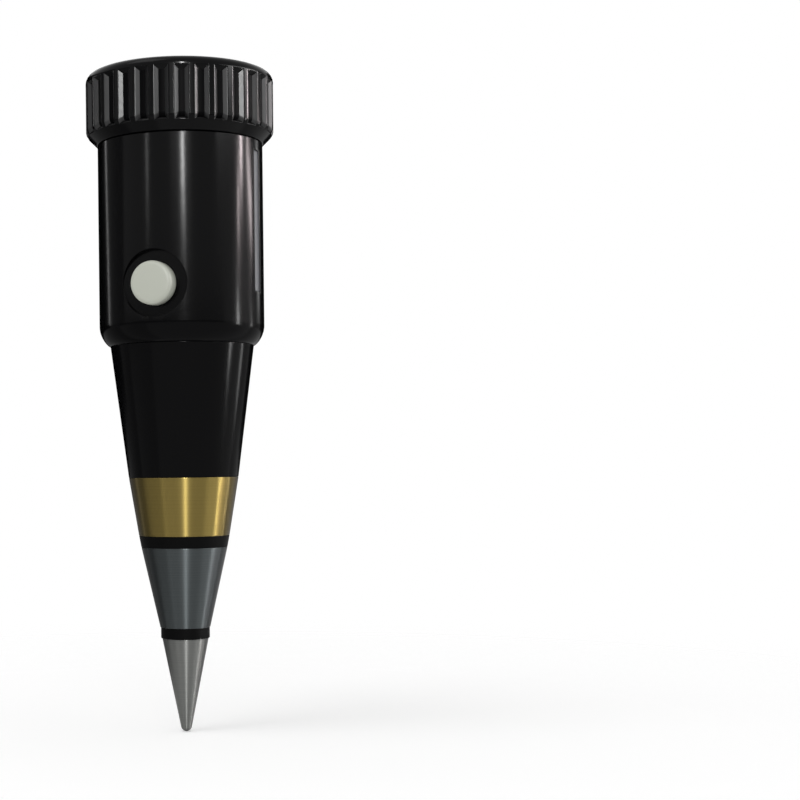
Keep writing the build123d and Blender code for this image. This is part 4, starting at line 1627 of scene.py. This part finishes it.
    def black_lines(self) -> None:
        """Prints the tick band's outline, its ticks, the numbers above it and the words in black."""
        inner, outer = self.tick_band
        start, end = self.scale_start - self.line_before, self.block_end + self.line_after
        upper = outer - self.line_lap
        lower = inner + self.line_lap
        prints = [
            self.band((upper, upper + self.line_width), start, end, 2),
            self.band((lower - self.line_width, lower), start, end, 2),
        ]
        ticks = []
        for (_, first), (_, last) in zip(self.acid_marks[:-2], self.acid_marks[1:-1]):
            ticks += [first + (last - first) * part / self.acid_parts for part in range(self.acid_parts)]
        ticks.append(self.scale_end)
        prints += [self.stroke(self.tick_band, tick, self.tick_width, 2) for tick in ticks]
        prints.append(self.stroke(self.tick_band, self.block_end, self.end_tick_width, 2))
        for value, turn_to in self.acid_marks:
            prints.append(self.number(value, turn_to, self.acid_reach, self.acid_height))
        prints += [self.upright(words) for words in self.black_words]
        self.press(prints, "print_black", BLACK_INK)

    def colour_bands(self) -> None:
        """Prints the coloured bands and blocks."""
        start, end = self.scale_start, self.scale_end
        block_start, block_end = end + self.block_gap, self.block_end
        inner, outer = self.tick_band
        block = inner + self.line_lap, outer - self.line_lap
        self.press([self.band(self.red_band, start, end, 2)], "print_red", RED_INK)
        self.press([self.band(self.teal_band, start, end, 1)], "print_teal", TEAL_INK)
        self.press([self.band(block, block_start, block_end, 1)], "print_lilac", LILAC_INK)
        self.press([self.band(self.green_block, block_start, block_end, 1)], "print_green", GREEN_INK)

    def wet_scale(self) -> None:
        """Prints the wet scale's numbers and the marks between them."""
        span = (self.scale_end - self.scale_start) / self.wet_blocks
        prints = []
        for block in range(self.wet_blocks):
            middle = self.scale_start + (block + 0.5) * span
            prints.append(self.number(self.wet_blocks - block, middle, self.wet_reach, self.wet_height))
            prints.append(self.stroke(self.wet_tick, middle - span / 2, self.wet_tick_width, 2))
        self.press(prints, "print_deep_teal", DEEP_TEAL_INK)


@dataclass
class Movement:
    """What shows of the movement: the reeded cover, painted shadow round its hub, and the pointer."""

    frame: Frame
    reed_round: float = 0.12
    reed_facets: int = 2
    groove_depth: float = 0.25
    groove_near: float = 0.02
    crest_length: float = 1.0
    near: float = 0.01
    merge: float = 0.002
    level: float = 0.9
    hub_radius: float = 8.2
    hub_clear: float = 1.0
    hub_shadow_line: float = 0.3
    hub_over: float = 0.03
    hub_sunk: float = 0.2
    hub_rise: float = 0.06
    hub_steps: int = 64

    def build(self) -> None:
        """Makes the cover, the hub's painted shadow and the pointer."""
        self.cover()
        self.hub()
        self.pointer()

    def cover(self) -> None:
        """Rounds the reeds of the cover and gives the grooves a dull finish with painted shade."""
        node = "movement_cover"
        top = self.frame.high(node).z
        made = self.frame.copy(node)
        crests = [edge for edge in made.edges if self.is_crest(edge, top)]
        lines = [edge.verts[0].co.y for edge in crests]
        # Crests that are nearer to each other than two rounds stay sharp
        apart = 2 * self.reed_round + self.near
        kept = []
        for edge, line in zip(crests, lines):
            if not any(self.near < abs(line - other) < apart for other in lines):
                kept.append(edge)
        round_off(made, kept, self.reed_round, self.reed_facets)
        bmesh.ops.remove_doubles(made, verts=made.verts, dist=self.merge)
        bmesh.ops.dissolve_degenerate(made, edges=made.edges, dist=self.merge)
        # The groove floors take the dull finish, whose darker grey is painted shade
        groove = top - self.groove_depth
        for face in made.faces:
            if face.normal.z > self.level and abs(face.calc_center_median().z - groove) < self.groove_near:
                face.material_index = SECOND
        others = (DULL_GROOVE_PAINTED_SHADE,)
        finish_piece(made, "cover", Body.HOUSING, REEDED_ALUMINIUM, node, others)

    def is_crest(self, edge: BMEdge, top: float) -> bool:
        """Tells whether an edge is the crest of a reed that can be rounded.

        Args:
            edge: An edge of the cover.
            top: Level of the reeds' roofs.

        Returns:
            True for a long edge along a reed, with room for a round beside it.
        """
        first, last = (vert.co for vert in edge.verts)
        high = abs(first.z - top) < self.near and abs(last.z - top) < self.near
        along = abs(first.y - last.y) < self.near and abs(first.x - last.x) > self.crest_length
        return high and along and all(self.broad(face) for face in edge.link_faces)

    def broad(self, face: BMFace) -> bool:
        """Tells whether a face, if it is a reed's roof, is broad enough for a round on each side.

        Args:
            face: A face beside a crest.

        Returns:
            True for broad roofs and for walls.
        """
        across = [vert.co.y for vert in face.verts]
        levels = [vert.co.z for vert in face.verts]
        wall = max(levels) - min(levels) > self.near
        return wall or max(across) - min(across) > 3 * self.reed_round - self.near

    def hub(self) -> None:
        """Lays a black line round the hub as painted shadow at the cover's edge."""
        arbor = self.frame.middle("pointer_arbors")
        top = self.frame.high("movement_cover").z
        half = math.degrees(math.acos((self.straight_edge() - arbor.y) / self.hub_radius))
        toward = Matrix.Rotation(math.radians(half), 3, "Z") @ Vector((0, 1, 0))
        centre = Vector((arbor.x, arbor.y, 0))
        inner, outer = self.hub_radius - self.hub_shadow_line, self.hub_radius + self.hub_over
        foot, head = top - self.hub_sunk, top + self.hub_rise
        sides = [(inner, foot), (outer, foot), (outer, head), (inner, head)]
        corners = [centre + toward * reach + Vector((0, 0, height)) for reach, height in sides]
        made = wind(corners, centre, 2 * half, self.hub_steps)
        # Black ink stands in for the shadow at the hub's edge
        finish_piece(made, "hub_shadow_line", Body.HOUSING, BLACK_INK)

    def straight_edge(self) -> float:
        """How far up the dial the cover's straight edge lies, clear of the hub."""
        places = [vert.co / MM for vert in self.frame.nodes["movement_cover"].data.vertices]
        return max(place.y for place in places if abs(place.x) > self.hub_radius + self.hub_clear)

    def pointer(self) -> None:
        """Copies the pointer."""
        node = "pointer"
        made = self.frame.copy(node)
        finish_piece(made, "needle", Body.POINTER, POINTER_RED, node)


@dataclass(frozen=True)
class Lamp:
    """A soft box of the studio.

    Attributes:
        name: The lamp's name.
        turn: Degrees round to the camera's right.
        reach: Distance from the meter's axis.
        foot: Height of its lower end.
        head: Height of its upper end.
        width: Width of the box.
        glow: Radiance of its face.
        fade: Share of its length that dims towards the foot.
        lean: Degrees that its foot swings to the camera's right.
        dip: Degrees that it faces down.
        tint: sRGB hex colour of its light.
        glint: Whether it only makes highlights.
    """

    name: str
    turn: float
    reach: float
    foot: float
    head: float
    width: float
    glow: float
    fade: float = 0.0
    lean: float = 0.0
    dip: float = 0.0
    tint: str = "#ffffff"
    glint: bool = True


@dataclass(frozen=True)
class Flag:
    """A screen round the meter that only highlights see: it keeps the edges of the mouldings dark.

    Attributes:
        name: The screen's name.
        start: Degrees round to the camera's right at which it begins.
        end: Degrees at which it ends.
        tone: sRGB hex colour of its cloth.
        inner: Distance of its lower edge from the meter's axis.
        outer: Distance of its upper edge.
        height: Height of its upper edge.
    """

    name: str
    start: float
    end: float
    tone: str
    inner: float = 1000.0
    outer: float = 1000.0
    height: float = 560.0


@dataclass
class Studio:
    """Floor, white room, lamps, flags and camera."""

    camera_turn: float = 19.7
    camera_reach: float = 420.0
    camera_height: float = 66.9
    shift_across: float = 0.2705
    shift_up: float = 0.0822
    roll: float = -0.65
    focal: float = 74.95
    sensor: float = 36.0
    nearest: float = 10.0
    ambient: float = 0.75
    fade_power: float = 1.5
    flag_steps: int = 24
    paper: str = "#fbfbfb"
    paper_lift: float = 0.15
    floor_clear: float = 90.0
    floor_end: float = 320.0
    floor_radius: float = 640.0
    floor_facets: int = 96
    lamps: list[Lamp] = field(
        default_factory=lambda: [
            Lamp("front strip", 3.2, 900.0, 254.0, 338.0, 34.0, 540.0, fade=1.05, lean=-15.0),
            Lamp("upper front strip", 3.4, 900.0, 430.0, 760.0, 36.0, 250.0),
            Lamp("front box", 1.0, 900.0, 232.0, 600.0, 430.0, 1.6, fade=0.24, glint=False),
            Lamp("left strip", -46.0, 900.0, 240.0, 335.0, 22.0, 55.0, fade=0.9),
            Lamp("left rear strip", -122.6, 900.0, 100.0, 410.0, 40.0, 5.0, lean=34.0),
            Lamp("upper right strip", 92.4, 800.0, 278.0, 345.0, 40.0, 170.0, tint="#fff0f2"),
            Lamp("right strip", 86.0, 800.0, 232.0, 264.0, 26.0, 190.0, fade=0.4, tint="#fff0f2"),
            Lamp("far right strip", 109.3, 800.0, 190.0, 350.0, 30.0, 40.0, lean=68.0, tint="#fff0f2"),
            Lamp("upper right box", 80.0, 800.0, 345.0, 470.0, 850.0, 14.0),
            Lamp("rear right strip", 133.0, 900.0, 195.0, 320.0, 60.0, 3.0),
            Lamp("low right strip", 82.5, 500.0, 18.0, 150.0, 22.0, 65.0, fade=0.18),
            Lamp("low far right strip", 111.0, 500.0, 18.0, 140.0, 25.0, 13.0, fade=0.18),
            Lamp("top box", -60.0, 700.0, 1000.0, 1700.0, 700.0, 2.2, dip=60.0, glint=False),
        ]
    )
    flags: list[Flag] = field(
        default_factory=lambda: [
            Flag("left flag", -118.0, -85.0, "#999999"),
            Flag("left rear flag", -178.0, -118.0, "#040404"),
            Flag("front flag", -85.0, 60.0, "#b4b4b4", height=195.0),
            Flag("right flag", 112.0, 127.0, "#a0a0a0"),
            Flag("right low flag", 127.0, 139.0, "#a0a0a0", height=190.0),
            Flag("right rear flag", 139.0, 178.0, "#101010"),
            Flag("left floor flag", -95.0, -50.0, "#dadada", inner=40.0, height=0.5),
            Flag("left rear floor flag", -178.0, -95.0, "#909090", inner=40.0, height=0.5),
            Flag("right rear floor flag", 110.0, 178.0, "#c8c8c8", inner=40.0, height=0.5),
        ]
    )

    def build(self) -> None:
        """Sets up the whole studio."""
        self.floor()
        self.room()
        for lamp in self.lamps:
            self.hang(lamp)
        for flag in self.flags:
            self.stand(flag)
        self.camera()

    def watched(self, tree: NodeTree) -> NodeSocket:
        """Tells the eye's rays, straight, mirrored or through glass, from those that only light things.

        Args:
            tree: The node tree that takes the nodes.

        Returns:
            A value of 1 for the eye's rays and of 0 for others.
        """
        path = add_node(tree, "ShaderNodeLightPath")
        seen = path.outputs["Is Camera Ray"]
        for way in ("Is Glossy Ray", "Is Transmission Ray"):
            rays = {0: seen, 1: path.outputs[way]}
            seen = add_node(tree, "ShaderNodeMath", links=rays, operation="MAXIMUM").outputs["Value"]
        return seen

    def floor(self) -> None:
        """Lays white paper that keeps the meter's shadow and gives way to the room further out."""
        made = bmesh.new()
        radius = self.floor_radius * MM
        bmesh.ops.create_circle(made, cap_ends=True, segments=self.floor_facets, radius=radius)
        floor = put("floor", mesh_of(made, "floor"))
        paper = bpy.data.materials.new("white paper")
        tree = bare_tree(paper)
        place = add_node(tree, "ShaderNodeTexCoord")
        away = add_node(tree, "ShaderNodeVectorMath", links={0: place.outputs["Object"]}, operation="LENGTH")
        fade = add_node(
            tree,
            "ShaderNodeMapRange",
            {"From Min": self.floor_clear * MM, "From Max": self.floor_end * MM},
            {"Value": away.outputs["Value"]},
            interpolation_type="SMOOTHSTEP",
        )
        matt = add_node(tree, "ShaderNodeBsdfDiffuse", {"Color": linear(self.paper)})
        strength = add_node(
            tree, "ShaderNodeMath", {1: self.paper_lift}, {0: self.watched(tree)}, operation="MULTIPLY"
        )
        lift = add_node(tree, "ShaderNodeEmission", links={"Strength": strength.outputs["Value"]})
        layers = {0: matt.outputs["BSDF"], 1: lift.outputs["Emission"]}
        white = add_node(tree, "ShaderNodeAddShader", links=layers)
        gone = add_node(tree, "ShaderNodeBsdfTransparent")
        mixed = add_node(
            tree,
            "ShaderNodeMixShader",
            links={0: fade.outputs["Result"], 1: white.outputs["Shader"], 2: gone.outputs["BSDF"]},
        )
        add_node(tree, "ShaderNodeOutputMaterial", links={"Surface": mixed.outputs["Shader"]})
        floor.data.materials.append(paper)

    def room(self) -> None:
        """Makes the room white to the eye, in mirrors and through glass, and dimmer as a light."""
        world = bpy.data.worlds.new("white room")
        bpy.context.scene.world = world
        tree = bare_tree(world)
        level = add_node(
            tree, "ShaderNodeMapRange", {"To Min": self.ambient, "To Max": 1.0}, {"Value": self.watched(tree)}
        )
        white = add_node(
            tree, "ShaderNodeBackground", {"Color": linear("#ffffff")}, {"Strength": level.outputs["Result"]}
        )
        add_node(tree, "ShaderNodeOutputWorld", links={"Surface": white.outputs["Background"]})

    def beside(self, turn_to: float, reach: float, height: float) -> Vector:
        """Finds a place in the studio.

        Args:
            turn_to: Degrees to the right of the camera, seen from the meter.
            reach: Distance from the meter's axis.
            height: Height above the floor.

        Returns:
            The place in metres.
        """
        around = math.radians(self.camera_turn + turn_to)
        return Vector((math.sin(around) * reach, -math.cos(around) * reach, height)) * MM

    def hang(self, lamp: Lamp) -> None:
        """Hangs one soft box, facing the meter.

        Args:
            lamp: The box.
        """
        light = bpy.data.lights.new(lamp.name, "AREA")
        light.shape = "RECTANGLE"
        light.size = lamp.width * MM
        light.size_y = (lamp.head - lamp.foot) * MM
        light.energy = lamp.glow * math.pi * light.size * light.size_y
        light.color = linear(lamp.tint)[:3]
        if lamp.fade:
            self.dim(light, lamp.fade)
        facing = self.beside(lamp.turn, -lamp.reach, 0).to_track_quat("-Z", "Y").to_matrix().to_4x4()
        place = Matrix.Translation(self.beside(lamp.turn, lamp.reach, (lamp.foot + lamp.head) / 2))
        lean = Matrix.Rotation(math.radians(lamp.lean), 4, "Z")
        dip = Matrix.Rotation(math.radians(-lamp.dip), 4, "X")
        made = put(lamp.name, light)
        made.matrix_world = place @ facing @ dip @ lean
        made.visible_camera = False
        made.visible_diffuse = not lamp.glint

    def dim(self, light: AreaLight, fade: float) -> None:
        """Dims a soft box towards its foot.

        Args:
            light: The box's light.
            fade: Share of its length that dims.
        """
        tree = bare_tree(light)
        place = add_node(tree, "ShaderNodeNewGeometry")
        along = add_node(tree, "ShaderNodeSeparateXYZ", links={"Vector": place.outputs["Parametric"]})
        level = add_node(tree, "ShaderNodeMapRange", {"From Max": fade}, {"Value": along.outputs["Y"]})
        ramp = add_node(
            tree, "ShaderNodeMath", {1: self.fade_power}, {0: level.outputs["Result"]}, operation="POWER"
        )
        face = add_node(tree, "ShaderNodeEmission", links={"Strength": ramp.outputs["Value"]})
        add_node(tree, "ShaderNodeOutputLight", links={"Surface": face.outputs["Emission"]})

    def stand(self, flag: Flag) -> None:
        """Stands one screen round the meter.

        Args:
            flag: The screen.
        """
        made = bmesh.new()
        lower = made.verts.new(self.beside(flag.end, flag.inner, 0))
        upper = made.verts.new(self.beside(flag.end, flag.outer, flag.height))
        made.edges.new((lower, upper))
        spin(made, Vector((0, 0, 0)), flag.end - flag.start, self.flag_steps)
        screen = put(flag.name, mesh_of(made, flag.name))
        # Felt: dead matt, so that a highlight takes on its tone alone
        felt = Finish(f"felt of the {flag.name}", flag.tone, 1.0, shine=0.0)
        screen.data.materials.append(felt.material())
        screen.visible_camera = False
        screen.visible_diffuse = False
        screen.visible_shadow = False

    def camera(self) -> None:
        """Sets the camera where the photograph was taken."""
        around = Matrix.Rotation(math.radians(self.camera_turn), 4, "Z")
        place = Matrix.Translation(Vector((0, -self.camera_reach, self.camera_height)) * MM)
        level = Matrix.Rotation(math.pi / 2, 4, "X")
        roll = Matrix.Rotation(math.radians(self.roll), 4, "Z")
        lens = bpy.data.cameras.new("camera")
        lens.lens = self.focal
        lens.sensor_width = self.sensor
        lens.shift_x = self.shift_across
        lens.shift_y = self.shift_up
        lens.clip_start = self.nearest * MM
        made = put("camera", lens)
        made.matrix_world = around @ place @ level @ roll
        bpy.context.scene.camera = made


def main() -> None:
    """Builds the meter piece by piece, then the studio round it."""
    logging.basicConfig(level=logging.INFO, format="%(name)s: %(message)s")
    frame = Frame.load()
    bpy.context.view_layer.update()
    frame.paint()
    for assembly in (Probe, Grip, Button, Switch, Bezel, Window, Dial, Movement):
        assembly(frame).build()
    Studio().build()
    bpy.context.scene.view_settings.view_transform = "Standard"


if __name__ == "__main__":
    main()
